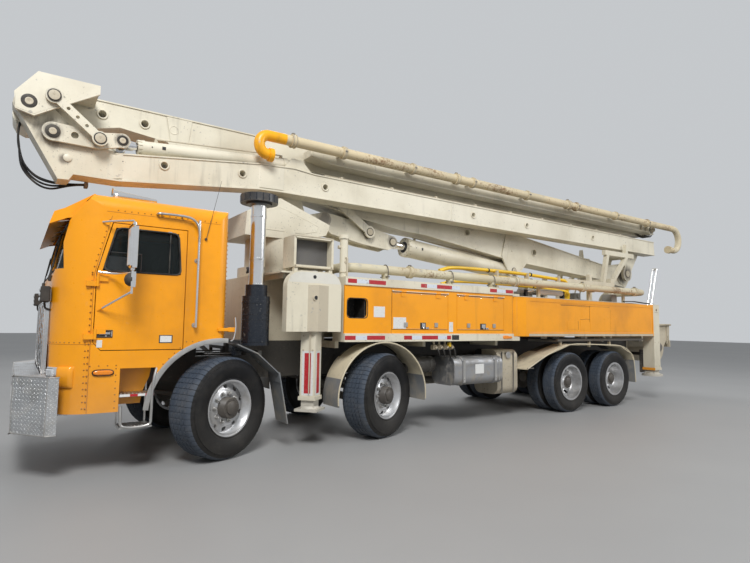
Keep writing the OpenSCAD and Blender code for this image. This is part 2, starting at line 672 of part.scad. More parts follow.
// Pipe bend in a plane, from the X axis
module bend(radius, r, angle) { rotate_extrude(angle = angle) translate([radius, 0]) circle(r = r); }
module coupling(r) { translate([0, 0, -35]) cylinder(r = r, h = 70); }
deck_pipe_r = 63;
deck_pipe_y = 1000;
deck_pipe_z = deck_z + 150;
deck_pipe_x = [-8700, -1750];
module delivery_line() {
    r = deck_pipe_r;
    color("#e8dcb8") place() {
        bar_x(deck_pipe_x[0], deck_pipe_x[1], deck_pipe_y, deck_pipe_z, r);
        for (x = [-2600, -4830, -6700, -8500]) translate([x, deck_pipe_y, deck_pipe_z]) rotate([0, 90, 0]) coupling(r + 18);
        // Front end: in and down to the inlet on the pedestal
        translate([deck_pipe_x[1], deck_pipe_y - 200, deck_pipe_z]) bend(200, r, 90);
        translate([deck_pipe_x[1] + 200, 660, deck_pipe_z]) rotate([-90, 0, 0]) cylinder(r = r, h = 140);
        translate([deck_pipe_x[1] + 200, 660, deck_pipe_z - 150]) rotate([90, 0, 90]) rotate([0, 0, 90]) bend(150, r, 90);
        // Rear end: in, down and into the hopper
        translate([deck_pipe_x[0], deck_pipe_y - 230, deck_pipe_z]) rotate(90) bend(230, r, 90);
        translate([deck_pipe_x[0] - 230, 180, deck_pipe_z]) rotate([-90, 0, 0]) cylinder(r = r, h = deck_pipe_y - 410);
        translate([deck_pipe_x[0] - 230, 180, deck_pipe_z - 180]) rotate([90, 0, 90]) rotate([0, 0, 90]) bend(180, r, 90);
        translate([deck_pipe_x[0] - 230, 0, 1290]) cylinder(r = r, h = deck_pipe_z - 180 - 1290);
        translate([deck_pipe_x[0] - 410, 0, 1290]) rotate([90, 0, 180]) rotate([0, 0, 180]) bend(180, r, 90);
        bar_x(hopper_x[1], deck_pipe_x[0] - 410, 0, 1110, r);
        // Saddles on the lockers and on posts from the rear deck
        for (x = [-2200, -3400, -4300]) block(x, x + 60, deck_pipe_y - 40, deck_pipe_y + 40, deck_z, deck_pipe_z - 45);
        for (x = [-5600, -7100, -8300]) {
            block(x, x + 60, 870, 910, rear_deck_z, deck_pipe_z - 30);
            block(x, x + 60, 870, deck_pipe_y, deck_pipe_z - 75, deck_pipe_z - 45);
        }
    }
}

// Pump

rear_deck_z = 1980;
rear_deck_x = [-8850, -4720];
cell_z = 1650;
cell_y = 180;
module pump_cells() {
    color("#8a867c") place() {
        both_sides() {
            bar_x(-6700, -4800, cell_y, cell_z, 80);
            bar_x(hopper_x[1], -6940, cell_y, cell_z, 112);
            for (x = [-4840, -6720]) translate([x, cell_y, cell_z]) rotate([0, 90, 0]) cylinder(r = 100, h = 60);
            block(-6900, -6740, 300, 345, sub_top, cell_z);
            block(-5000, -4930, 240, 345, sub_top, cell_z + 20);
        }
        block(-5000, -4930, -250, 250, cell_z - 60, cell_z + 60);
        block(-6945, -6695, -310, 310, 1400, 1930);
        // Accumulator on the rear deck
        bar_x(-5920, -5190, 780, rear_deck_z + 95, 48);
        for (x = [-5850, -5300]) block(x, x + 50, 745, 815, rear_deck_z, rear_deck_z + 60);
    }
}
hopper_x = [-10400, -9200];
hopper_y = 750;
hopper_z = 1550;
hopper_t = 12;
shaft = [-9800, 1050];
trough_r = 320;
shaft_r = 35;
module hopper_profile(t, top) {
    prism_y([[hopper_x[1] - t, top], [hopper_x[1] - t, 1200], [shaft[0] + trough_r - t, shaft[1]],
        [shaft[0] - trough_r + t, shaft[1]], [hopper_x[0] + t, 1380], [hopper_x[0] + t, top]],
        -hopper_y + t, hopper_y - t);
    pin_y(shaft, trough_r - t, -hopper_y + t, hopper_y - t);
}
grate_pin = [hopper_x[1] - 130, hopper_z - 60];
module hopper() {
    color("#e8dcb8") place() {
        difference() {
            union() {
                hopper_profile(0, hopper_z);
                // Rim round the mouth
                block(hopper_x[0] - 30, hopper_x[1] - 5, -hopper_y - 30, hopper_y + 30, hopper_z - 20, hopper_z);
                pin_y(shaft, 95, -hopper_y - 60, hopper_y + 60);
                both_sides() block(hopper_x[1] - 20, frame_rear, rail_y - rail_flange, rail_y, rail_z + 60, 1250);
            }
            hopper_profile(hopper_t, hopper_z + 50);
            pin_y(shaft, shaft_r + run_gap, -hopper_y - 61, hopper_y + 61);
            pin_y(grate_pin, 10 + run_gap, -hopper_y - 1, hopper_y + 1);
        }
        // Rear skirt and its lamps' beam
        block(hopper_x[0] - 30, hopper_x[0] + 10, -hopper_y, hopper_y, 1050, 1200);
        both_sides() block(hopper_x[0] - 30, hopper_x[0] + 12, hopper_y - 60, hopper_y - 20, 1050, 1400);
    }
}
module hopper_grate() {
    x0 = hopper_x[0] + 150;
    x1 = grate_pin[0] + 20;
    y1 = hopper_y - hopper_t - 8;
    color("#55534e") place() {
        pin_y(grate_pin, 10, -hopper_y + 1, hopper_y - 1);
        difference() {
            block(x0, x1, -y1, y1, grate_pin[1] - 15, grate_pin[1] + 15);
            block(x0 + 25, x1 - 40, -y1 + 25, y1 - 25, grate_pin[1] - 16, grate_pin[1] + 16);
        }
        for (y = [-9:9]) block(x0 + 10, x1 - 20, y * 70 - 5, y * 70 + 5, grate_pin[1] - 12, grate_pin[1] + 12);
        for (x = [-9640, -9950]) block(x, x + 12, -y1 + 10, y1 - 10, grate_pin[1] - 12, grate_pin[1] + 8);
    }
}
module agitator() {
    color("#6b6862") place() {
        pin_y(shaft, shaft_r, -hopper_y - 60, hopper_y + 60);
        for (i = [0:5]) translate([shaft[0], -500 + i * 200, shaft[1]]) rotate([0, i * 60, 0]) {
            translate([-18, -15, 0]) cube([36, 30, trough_r - 60]);
            translate([-18, -70, trough_r - 80]) rotate([0, 0, 0]) cube([36, 140, 40]);
        }
    }
}

// Boom rest and rear deck

rest_y = 500;
rest_bar = 80;
module boom_rest() {
    color("#e8dcb8") place() {
        block(rear_deck_x[0], rear_deck_x[1], -930, 930, rear_deck_z - 10, rear_deck_z);
        both_sides() {
            for (x = [-5100, -6400, -7700, -8600])
                block(x, x + 70, rail_y - rail_flange, rail_y, sub_top, rear_deck_z - 10);
            block(-8490, -6790, rest_y, rest_y + rest_bar, 2310, 2410);
            for (x = [-6870, -7670, -8450]) block(x, x + 80, rest_y, rest_y + rest_bar, rear_deck_z, 2320);
            block(-7670, -7590, rest_y, rest_y + rest_bar, 2400, 2540);
            block(-9280, -8180, rest_y, rest_y + rest_bar, 3000, 3100);
            prism_y([[-8080, 2405], [-8170, 2405], [-8330, 3005], [-8240, 3005]], rest_y, rest_y + rest_bar);
            prism_y([[-8380, 2405], [-8480, 2405], [-9060, 3005], [-8960, 3005]], rest_y, rest_y + rest_bar);
            prism_y([[-8960, 3095], [-9050, 3095], [-9010, 3290], [-8990, 3290]], rest_y, rest_y + rest_bar);
        }
        // Cross bars: one under the first section, one on the low bars
        block(-8450, -8350, -rest_y - rest_bar, rest_y + rest_bar, 2405, 2500);
        block(-8430, -8370, -200, 100, 2495, 2535);
        block(-6870, -6790, -rest_y - rest_bar, rest_y + rest_bar, 2230, 2315);
        for (y = [-560, -700]) strut([-8835, y, rear_deck_z - 5], [-9160, y, 2750], 16);
        strut([-9160, -716, 2750], [-9160, -544, 2750], 16);
    }
}

// Fenders, boxes and tanks

fender_r = 690;
fender_t = 12;
flap_y = [860, 1180];
module band(points, t, y0, y1) {
    n = len(points);
    prism_y(concat(points, [for (i = [n - 1:-1:0]) points[i] - [0, t]]), y0, y1);
}
module fenders() {
    color("#c9c0a2") place() {
        both_sides() {
            // Over the second axle
            translate([axle_2_x, 1245, steer_r]) rotate([90, 0, 0]) rotate([0, 0, -8]) difference() {
                rotate_extrude(angle = 196, $fn = 96) translate([fender_r - fender_t, 0]) square([fender_t, 385]);
            }
            block(axle_2_x - 30, axle_2_x + 30, 900, 1100, steer_r + fender_r - 10, box_z);
            // Flaps behind the first wheels, and their carriers on the rails
            band([[-60, 1235], [-300, 1130], [-560, 900], [-572, 800]], 14, flap_y[0], flap_y[1]);
            prism_y([[-560, 900], [-680, 310], [-692, 310], [-574, 900]], flap_y[0], flap_y[1]);
            block(-440, -400, rail_y - rail_flange, 940, 1100, 1140);
            block(-440, -400, rail_y - rail_flange, rail_y, rail_top, 1100);
            block(-440, -400, 900, 940, 1005, 1105);
            // Over the driven axles
            band([[-4830, 790], [-5350, 1010], [-5960, 1170], [-6740, 1165], [-7530, 1130], [-7880, 990],
                [-7990, 840]], 14, 745, 1240);
            prism_y([[-7982, 850], [-8030, 420], [-8044, 420], [-7996, 850]], 745, 1240);
            for (x = [-5900, -6750, -7400]) block(x, x + 40, 1080, 1120, 1110, 1225);
            // Side rail under the rear arms
            block(-8580, -5780, 1080, 1120, 1220, 1260);
            for (x = [-5900, -7200, -8500]) block(x, x + 50, rail_y, 1100, 1200, 1235);
            // Rear lamp panel on its bracket
            block(-9190, -8850, 880, 905, 550, 1020);
            block(-9080, -9000, rail_y, 885, 900, 960);
        }
    }
}
tank_r = 120;
module rounded_tank(x0, x1, y0, y1, z0, z1, r) {
    translate([x0, 0, 0]) rotate([90, 0, 90]) linear_extrude(x1 - x0)
        round_rect([y0, z0], [y1, z1], [r, r, r, r]);
}
module tool_boxes() {
    color("#c3c5c6") place() {
        both_sides() {
            rounded_tank(-4270, -3260, 730, 1220, 600, 1010, 110);
            for (x = [-3450, -4110]) {
                rounded_tank(x - 30, x + 30, 722, 1228, 592, 1018, 116);
                block(x - 30, x + 30, rail_y, 740, 860, 1000);
            }
            rounded_tank(-4800, -4330, 560, 1060, 390, 1090, tank_r);
            block(-4620, -4560, rail_y, 600, 820, 1000);
        }
    }
}

// Outriggers

arm_w = 160;
arm_h = 240;
arm_t = 12;
guide_gap = 5;
guide_t = 10;
mouth = 200;
leg_at = [-1000, box_y - 1 - front_leg_w * (sin(front_arm_angle) + cos(front_arm_angle)) / 2];
leg_z = [560, 2060];
leg_t = 10;
foot_z = 430;
arch_z = [1370, 2090];
head_x = [-1330, -600];
function front_arm_z(side) = side > 0 ? 1680 : 1395;
// Seen as on the left, X out along the arm from the middle of its leg
module front_side(side) {
    place() at_side(side) translate([leg_at[0], leg_at[1], 0]) rotate(front_arm_angle) children();
}
module square_bar(half, z0, z1) { block(-half, half, -half, half, z0, z1); }
module front_arm(side) {
    z = front_arm_z(side);
    color("#e8dcb8") difference() {
        union() {
            front_side(side) {
                difference() {
                    block(-front_arm_len, -front_leg_w / 2 + 2, -arm_w / 2, arm_w / 2, z, z + arm_h);
                    block(-front_arm_len - 1, -front_leg_w / 2 - 20, -arm_w / 2 + arm_t, arm_w / 2 - arm_t, z + arm_t,
                        z + arm_h - arm_t);
                }
                block(-front_arm_len, -front_arm_len + 80, -60, 60, z + arm_h - 1, z + arm_h + guide_gap - run_gap);
                square_bar(front_leg_w / 2, leg_z[0], leg_z[1]);
                square_bar(front_leg_w / 2 + 14, leg_z[0], leg_z[0] + 45);
            }
            // Arched head over the leg
            place() at_side(side) difference() {
                through_y(box_y - 115, box_y) round_rect([head_x[0], arch_z[0]], [head_x[1], arch_z[1]], [0, 0, 190, 190]);
                through_y(box_y - 120, box_y - 30)
                    round_rect([head_x[0] + 20, arch_z[0] - 10], [head_x[1] - 20, arch_z[1] - 20], [0, 0, 170, 170]);
            }
        }
        front_side(side) square_bar(front_leg_w / 2 - leg_t, leg_z[0] - 1, leg_z[1] - 20);
    }
}
module front_foot(side) {
    color("#cfd0cf") front_side(side) {
        square_bar(front_leg_w / 2 - leg_t - guide_gap, foot_z + 20, 1800);
        square_bar(front_leg_w / 2 - leg_t - run_gap, 1760, 1810);
        square_bar(140, foot_z, foot_z + 30);
    }
}
pedestal_x = [-1560, -440];
ring_r = 520;
slew_z = 2100;
rear_hinge = [-4620, 1130];
rear_hinge_r = 45;
rear_sleeve_r = 75;
rear_arm_z = [1310, 1940];
module guide_outer(side) {
    z = front_arm_z(side);
    front_side(side) block(-front_arm_len - 30, -mouth, -arm_w / 2 - guide_gap - guide_t, arm_w / 2 + guide_gap + guide_t,
        z - guide_gap - guide_t, z + arm_h + guide_gap + guide_t);
}
module guide_inner(side) {
    z = front_arm_z(side);
    front_side(side) block(-front_arm_len - 31, -mouth + 1, -arm_w / 2 - guide_gap, arm_w / 2 + guide_gap,
        z - guide_gap, z + arm_h + guide_gap);
}
module outrigger_housing() {
    z_low = front_arm_z(-1) - guide_gap - guide_t;
    z_high = front_arm_z(1) + arm_h + guide_gap + guide_t;
    color("#e8dcb8") {
        difference() {
            union() {
                for (side = [-1, 1]) guide_outer(side);
                place() {
                    // Pedestal under the slewing ring
                    block(pedestal_x[0], pedestal_x[1], -rail_y, rail_y, sub_top, slew_z - 40);
                    translate([slew_x, 0, slew_z - 40]) cylinder(r = ring_r, h = 40);
                    both_sides() {
                        for (x = [-1300, -1215]) block(x, x + 30, rail_y - 1, leg_at[1] + (x - leg_at[0]) * tan(front_arm_angle),
                            z_low, z_high);
                        block(head_x[0], head_x[1], rail_y, 1080, deck_z + 10, deck_z + 30);
                        for (x = [-1300, -700]) block(x, x + 40, rail_y - 1, 1000, deck_z - 50, deck_z + 11);
                    }
                    // Inlet box of the delivery line
                    block(-1640, -1470, 425, 605, z_high - 1, deck_z);
                    // Seat of the crossed guides
                    block(-2450, -2210, -rail_y, rail_y, sub_top, z_low + 1);
                    block(-2380, -2280, -90, 90, z_low, z_high - 1);
                }
            }
            for (side = [-1, 1]) guide_inner(side);
        }
        // Wear pads in the mouths
        for (side = [-1, 1]) front_side(side)
            block(-mouth - 60, -mouth, -60, 60, front_arm_z(side) - guide_gap - 1, front_arm_z(side) - run_gap);
        // Rear arms' cross beam, brackets and pins
        place() {
            block(-4700, box_rear_x - 5, -1200, 1200, sub_top, rear_arm_z[0] - 5);
            both_sides() {
                block(-4535, box_rear_x - 5, rail_y, 1200, rear_arm_z[0] - 6, rear_arm_z[1] + 6);
                block(-4700, box_rear_x - 5, rail_y, 1200, rear_arm_z[1] + 5, rear_arm_z[1] + 45);
                translate([rear_hinge[0], rear_hinge[1], rear_arm_z[0] - 6]) {
                    cylinder(r = rear_hinge_r, h = rear_arm_z[1] - rear_arm_z[0] + 12);
                    cylinder(r = rear_sleeve_r - 5, h = 6 - run_gap);
                }
            }
        }
    }
}
rear_leg_at = [rear_hinge[0] - rear_arm_len, 1130];
rear_leg_z = [620, 1950];
rear_leg_t = 15;
rear_foot_z = 500;
module rear_arm(side) {
    far = rear_leg_at[0] + rear_leg_w / 2;
    color("#f2a516") place() at_side(side) difference() {
        union() {
            translate([0, 0, rear_arm_z[0]]) linear_extrude(rear_arm_z[1] - rear_arm_z[0]) polygon([
                [rear_hinge[0], rear_hinge[1] + 62], [rear_hinge[0] - 180, box_y], [far - 10, box_y],
                [far - 10, rear_leg_at[1] - 100], [far + 160, 970], [rear_hinge[0] - 180, 970],
                [rear_hinge[0], rear_hinge[1] - 62]]);
            translate([rear_hinge[0], rear_hinge[1], rear_arm_z[0]])
                cylinder(r = rear_sleeve_r, h = rear_arm_z[1] - rear_arm_z[0]);
            translate([rear_leg_at[0], rear_leg_at[1], 0]) {
                square_bar(rear_leg_w / 2 + 15, rear_leg_z[0], rear_leg_z[1]);
                square_bar(rear_leg_w / 2 + 30, rear_leg_z[0], rear_leg_z[0] + 50);
            }
        }
        block(far + 60, rear_hinge[0] - 280, box_y - 6, box_y + 1, rear_arm_z[0] + 60, rear_arm_z[1] - 60);
        translate([rear_hinge[0], rear_hinge[1], rear_arm_z[0] - 1]) cylinder(r = rear_hinge_r + 0.5, h = 700);
        translate([rear_leg_at[0], rear_leg_at[1], 0]) square_bar(rear_leg_w / 2, rear_leg_z[0] - 1, rear_leg_z[1] - 20);
    }
}
module rear_foot(side) {
    color("#cfd0cf") place() at_side(side) translate([rear_leg_at[0], rear_leg_at[1], 0]) {
        square_bar(rear_leg_w / 2 - guide_gap, rear_foot_z + 20, 1800);
        square_bar(rear_leg_w / 2 - run_gap, 1760, 1810);
        translate([0, 0, rear_foot_z]) cylinder(r = 195, h = 40);
    }
}

// Boom

pin_r = 60;
pin_gap = 0.5;
lip = 12;
tip_x = -1250;

// A welded box beam in side view: webs set in between a top and a bottom flange, points by falling X
module box_beam(top, bottom, y0, y1) {
    prism_y(concat(top, [for (i = [len(bottom) - 1:-1:0]) bottom[i]]), y0 + lip, y1 - lip);
    band(top, boom_t + 4, y0, y1);
    prism_y(concat(bottom, [for (i = [len(bottom) - 1:-1:0]) bottom[i] + [0, boom_t + 4]]), y0, y1);
}
module beam_holes(at, r, y0, y1) { for (p = at) pin_y(p, r, y0 - 1, y1 + 1); }
module beam_rings(at, r, y0, y1) { for (p = at) pin_y(p, r + 14, y0 + 2, y1 - 2); }
module two_plates(y, t) { for (y0 = y) translate([0, y0, 0]) rotate([90, 0, 0]) mirror([0, 0, 1])
    linear_extrude(t) children(); }

cheek_y = [-285, 145];
cheek_t = 40;
ear_y = [-240, 105];
ear_t = 35;
lever_y = [-200, 100];
link_plates_y = [-275, 145];
module turret() {
    color("#e8dcb8") place() {
        translate([slew_x, 0, slew_z + run_gap]) cylinder(r = ring_r, h = 100);
        translate([slew_x, 0, slew_z + 90]) cylinder(r = 430, h = 520);
        // Sloped housing
        difference() {
            prism_y([[-380, 2590], [-400, 2900], [-850, 3130], [-1620, 2850], [-1560, 2700], [-1150, 2590]], -420, 420);
            prism_y([[-480, 2700], [-480, 2840], [-830, 2990], [-830, 2700]], -421, 421);
            prism_y([[-980, 2700], [-980, 2960], [-1430, 2800], [-1400, 2740], [-1200, 2690]], -421, 421);
        }
        prism_y([[-560, 2680], [-560, 2820], [-1350, 2790], [-1350, 2680]], -300, 300);
        difference() {
            union() {
                // Cheeks that hold the boom's root
                for (y = cheek_y) {
                    prism_y([[-650, 2900], [-900, 3420], [-1200, 3420], [-1380, 2900]], y, y + cheek_t);
                    pin_y(root_pin, 150, y, y + cheek_t);
                    prism_y([[-820, 3000], [-910, 3250], [-1190, 3250], [-1280, 3000]], y < 0 ? y - 25 : y + 39,
                        y < 0 ? y + 1 : y + 55);
                }
                // Ears that hold the lift lever
                for (y = ear_y) {
                    prism_y([[-1350, 2830], [-1400, 3020], [lever_root_pin[0], lever_root_pin[1] + 105],
                        [lever_root_pin[0] - 95, lever_root_pin[1] - 45], [-1600, 2760]], y, y + ear_t);
                    pin_y(lever_root_pin, 105, y, y + ear_t);
                }
            }
            for (y = cheek_y) pin_y(root_pin, pin_r, y - 30, y + cheek_t + 30);
        }
        pin_y(root_pin, pin_r, cheek_y[0], cheek_y[1] + cheek_t);
        pin_y(lever_root_pin, 50, ear_y[0], ear_y[1] + ear_t);
    }
}

boom_1_top = [[root_pin[0], 3588], [-1900, 3600], [-4600, 3410], [-6430, 3170], [-8900, 2860], [-9640, 2940]];
boom_1_bottom = [[-1110, 3262], [-1450, 3250], [-2200, 3100], [-3130, 2990], [-3640, 2970], [-5720, 2720],
    [-7130, 2630], [-8570, 2545], [-9300, 2440], [-9690, 2402]];
boom_1_holes = [[-8900, 2690], [-6430, 2930], [-4590, 3130]];
module boom_1() {
    color("#e8dcb8") place() difference() {
        union() {
            box_beam(boom_1_top, boom_1_bottom, boom_1_r, boom_1_l);
            pin_y(root_pin, 170, boom_1_r, boom_1_l);
            prism_y([[-9500, 2500], [-9690, 2402], [-9825, 2560], [-9825, 2800], [-9640, 2940], [-9400, 2850]],
                boom_1_r, boom_1_l);
            pin_y(rear_pin, 240, boom_1_r, boom_1_l);
            pin_y(rear_pin, pin_r, -310, boom_2_r + 60);
            // Boss and stubs for the lift links
            pin_y(link_top_pin, 110, boom_1_r, boom_1_l);
            pin_y(link_top_pin, 45, link_plates_y[0], link_plates_y[1] + 30);
            // Bracket of the lift cylinder
            for (y = [-245, 115]) prism_y([[-5480, 2790], [-5700, 2420], [-5810, 2405], [-5920, 2430],
                [-6230, 2740], [-6100, 3180], [-5600, 3200]], y, y + 30);
            pin_y(lift_base_pin, 50, -250, 150);
            beam_rings(boom_1_holes, 55, boom_1_r, boom_1_l);
        }
        pin_y(root_pin, pin_r + pin_gap, boom_1_r - 1, boom_1_l + 1);
        beam_holes(boom_1_holes, 55, boom_1_r, boom_1_l);
    }
}

lever_outline = [[-1690, 3104], [-1850, 3098], [-2500, 2992], [-2960, 2885], [-3050, 2800], [-2975, 2700],
    [-2880, 2655], [-2400, 2700], [-1820, 2800], [-1600, 2945]];
module lift_lever() {
    color("#e8dcb8") place() difference() {
        union() {
            for (y = [lever_y[0], lever_y[1] - 40]) {
                prism_y(lever_outline, y, y + 40);
                pin_y(lever_root_pin, 104, y, y + 40);
                pin_y(rod_eye, 96, y, y + 40);
            }
            prism_y([[-1690, 3060], [-2500, 2955], [-2640, 2900], [-2640, 2720], [-2400, 2735], [-1800, 2850]],
                lever_y[0] + 39, lever_y[1] - 39);
            pin_y(lever_root_pin, 90, lever_y[0] + 39, lever_y[1] - 39);
            pin_y(lever_mid_pin, 45, link_plates_y[0], link_plates_y[1] + 30);
            // The rod's eye is left free of its pin, whose ends sit in the plates
            for (y = [lever_y[0] - 8, lever_y[1] - 42]) pin_y(rod_eye, 50, y, y + 50);
        }
        pin_y(lever_root_pin, 50 + pin_gap, lever_y[0] - 1, lever_y[1] + 1);
    }
}
module lift_link() {
    color("#e8dcb8") place() difference() {
        for (y = link_plates_y) link_y(lever_mid_pin, link_top_pin, 92, 112, 62, y, y + 30);
        for (p = [lever_mid_pin, link_top_pin]) pin_y(p, 45 + pin_gap, -300, 200);
    }
}

// A cylinder from one pin to another, drawn along X from its base pin
module along(from, to, y) {
    place() translate([from[0], y, from[1]]) rotate([0, -atan2(to[1] - from[1], to[0] - from[0]), 0]) children();
}
module tube_x(x0, x1, r) { rotate([0, 90, 0]) translate([0, 0, x0]) cylinder(r = r, h = x1 - x0); }
module ram_barrel(long, r, bore, rod, eye, eye_w, eye_hole) {
    difference() {
        union() {
            tube_x(eye + 50, long, r);
            tube_x(long - 80, long, r + 8);
            tube_x(eye + 50, eye + 110, r + 6);
            rotate([90, 0, 0]) translate([0, 0, -eye_w / 2]) cylinder(r = eye, h = eye_w);
            block(0, eye + 60, -eye_w / 2, eye_w / 2, -eye * 0.8, eye * 0.8);
        }
        tube_x(eye + 140, long - 60, bore);
        tube_x(long - 61, long + 1, rod + pin_gap);
        rotate([90, 0, 0]) translate([0, 0, -eye_w]) cylinder(r = eye_hole, h = 2 * eye_w);
        // Spanner slots of the gland
        for (i = [0:11]) rotate([i * 30, 0, 0]) block(long - 45, long + 1, -8, 8, r, r + 9);
    }
}
module ram_rod(total, tail, bore, rod, eye, eye_w, eye_hole) {
    difference() {
        union() {
            tube_x(tail, total - eye + 10, rod);
            tube_x(tail, tail + 120, bore - run_gap);
            rotate([90, 0, 0]) translate([total, 0, -eye_w / 2]) cylinder(r = eye, h = eye_w);
            tube_x(total - eye - 60, total - eye * 0.6, rod + 12);
        }
        rotate([90, 0, 0]) translate([total, 0, -eye_w]) cylinder(r = eye_hole, h = 2 * eye_w);
    }
}
lift_r = 155;
lift_rod_r = 60;
lift_stroke = 1047;
lift_total = norm(rod_eye - lift_base_pin);
module lift_barrel() {
    color("#e8dcb8") along(lift_base_pin, rod_eye, boom_1_y)
        ram_barrel(2520, lift_r, 122, lift_rod_r, 100, 200, 50 + pin_gap);
}
module lift_rod() {
    color("silver") along(lift_base_pin, rod_eye, boom_1_y)
        ram_rod(lift_total, 2520 - 90 - lift_stroke - 150, 122, lift_rod_r, 90, 180, 50 + pin_gap);
}

head_outline = [[1140, 3320], [1480, 3430], [1780, 3700], [1890, 3790], [2050, 3800], [2120, 3660], [2050, 3560],
    [1690, 2940], [1590, 2945], [1550, 3010], [1100, 3010]];
boom_2_top = [[1160, 3323], [-530, 3530], [-1020, 3560], [-1330, 3530], [-10370, 3500]];
boom_2_bottom = [[1110, 3010], [-540, 3185], [-860, 3195], [-10400, 3180]];
boom_2_holes = [[-300, 3350], [640, 3280], [-1500, 3370], [-4400, 3360], [-5800, 3350], [-7900, 3340]];
rear_lug_y = [-310, boom_2_r];
cross_tube = [-9720, 3130];
module boom_2() {
    color("#e8dcb8") place() difference() {
        union() {
            box_beam(boom_2_top, boom_2_bottom, boom_2_r, boom_2_l);
            prism_y(head_outline, boom_2_r + lip, boom_2_l - lip);
            for (y = [boom_2_r, boom_2_l - lip - 6]) {
                pin_y(front_pin, 135, y, y + lip + 6);
                pin_y(fold_lever_pin, 100, y, y + lip + 6);
            }
            // Front flange of the head
            prism_y([[2050, 3560], [1690, 2940], [1672, 2952], [2034, 3576]], boom_2_r, boom_2_l);
            prism_y([[1690, 2940], [1590, 2945], [1550, 3010], [1100, 3010], [1100, 3026], [1560, 3026],
                [1600, 2961], [1690, 2956]], boom_2_r, boom_2_l);
            // Lugs round the end of the first section
            for (y = rear_lug_y) link_y(rear_pin, cross_tube, 170, 110, 92, y, y + 60);
            prism_y([[-9330, 3190], [-9480, 2850], [-9740, 2780], [-10050, 3190]], boom_2_r, boom_2_r + 60);
            pin_y(cross_tube, 60, rear_lug_y[0], boom_2_r + 60);
            beam_rings(boom_2_holes, 38, boom_2_r, boom_2_l);
            // Lugs of the fold cylinder's base
            for (y = [240, 405]) prism_y([[-1340, 3500], [-1150, 3690], [-1000, 3695], [-840, 3500]], y, y + 35);
        }
        // Groove that the fold cylinder lies in
        block(-1000, 1200, 250, 430, 3390, 3800);
        block(-1220, -999, 276, 404, 3520, 3800);
        pin_y(front_pin, pin_r + pin_gap, boom_2_r - 1, boom_2_l + 1);
        pin_y(fold_lever_pin, 55 + pin_gap, boom_2_r - 1, boom_2_l + 1);
        for (y = rear_lug_y) pin_y(rear_pin, pin_r + pin_gap, y - 1, y + 61);
        beam_holes(boom_2_holes, 38, boom_2_r, boom_2_l);
    }
    color("silver") place() pin_y(fold_base_pin, 36, 241, 439);
}

boom_3_top = [[1680, 4025], [-4000, 4028], [-10300, 4025], [-10500, 3960]];
boom_3_bottom = [[1570, 3605], [1080, 3740], [510, 3675], [-480, 3662], [-9900, 3690], [-10500, 3680]];
boom_3_holes = [[1270, 3860], [810, 3850], [470, 3850], [-2000, 3845], [-5000, 3845], [-8200, 3850]];
module boom_3() {
    color("#e8dcb8") place() difference() {
        union() {
            box_beam(boom_3_top, boom_3_bottom, boom_3_r, boom_3_l);
            prism_y([[1680, 4025], [1900, 3900], [2118, 3680], [2080, 3560], [1990, 3520], [1570, 3600]],
                boom_3_r, boom_3_l);
            pin_y(front_pin, 140, boom_3_r, boom_3_l);
            pin_y(front_pin, pin_r, boom_3_r - 8, 575);
            pin_y(tail_pin, 120, boom_3_r, boom_3_l);
            pin_y(tail_pin, pin_r, boom_3_r - 8, boom_4_l + 8);
            // Outer cheek with the fold link's pin, joined over the second section's head
            prism_y([[1350, 3905], [1350, 4000], [1920, 4000], [2110, 3740], [2090, 3570], [1930, 3530],
                [1690, 3690]], 540, 575);
            block(1360, 1890, boom_3_l - 1, 541, 3905, 4000);
            // Rest lug under the section
            prism_y([[540, 3680], [300, 3670], [385, 3535], [430, 3535]], 88, boom_3_l);
            beam_rings(boom_3_holes, 42, boom_3_r, boom_3_l);
        }
        beam_holes(boom_3_holes, 42, boom_3_r, boom_3_l);
    }
}

boom_4_top = [[-1300, 3900], [-1700, 4020], [-10250, 4022], [-10500, 3930]];
boom_4_bottom = [[-1300, 3800], [-1610, 3738], [-10200, 3735], [-10500, 3700]];
pipe_z = 3880;
tail_bend = (pipe_z - 3350) / 2;
tail_bend_x = tail_pin[0] - tail_reach + pipe_r + tail_bend;
front_bend = 125;
front_bend_x = -400 - pipe_r - front_bend;
clamp_x = [-1750, -3000, -4300, -5700, -7200, -8600, -9900];
clamp_arm_z = 3880;
module boom_4() {
    color("#e8dcb8") place() difference() {
        union() {
            box_beam(boom_4_top, boom_4_bottom, boom_4_r, boom_4_l);
            pin_y(tail_pin, 115, boom_4_r, boom_4_l);
            for (x = clamp_x) {
                block(x, x + 50, boom_4_l - 20, pipe_y, min(pipe_z, clamp_arm_z) - 30,
                    max(pipe_z, clamp_arm_z) + 30);
                bar_x(x - 5, x + 55, pipe_y, pipe_z, pipe_r + clamp_t - 2);
            }
        }
        pin_y(tail_pin, pin_r + pin_gap, boom_4_r - 1, boom_4_l + 1);
    }
    color("#b0843c") place() {
        bar_x(tail_bend_x, front_bend_x, pipe_y, pipe_z, pipe_r);
        translate([tail_bend_x, pipe_y, pipe_z - tail_bend]) rotate([90, 0, 0]) rotate([0, 0, 90]) bend(tail_bend, pipe_r, 180);
        bar_x(tail_bend_x, tail_bend_x + 260, pipe_y, pipe_z - 2 * tail_bend, pipe_r);
        bar_x(tail_bend_x + 195, tail_bend_x + 265, pipe_y, pipe_z - 2 * tail_bend, pipe_r + clamp_t);
        translate([front_bend_x, pipe_y, pipe_z - front_bend]) rotate([90, 0, 0]) rotate([0, 0, -90])
            bend(front_bend, pipe_r, 180);
        bar_x(front_bend_x - 50, front_bend_x, pipe_y, pipe_z - 2 * front_bend, pipe_r);
        bar_x(front_bend_x - 60, front_bend_x - 5, pipe_y, pipe_z - 2 * front_bend, pipe_r + clamp_t);
        for (x = [-940, -3900, -6900]) bar_x(x - 35, x + 35, pipe_y, pipe_z, pipe_r + clamp_t);
    }
}

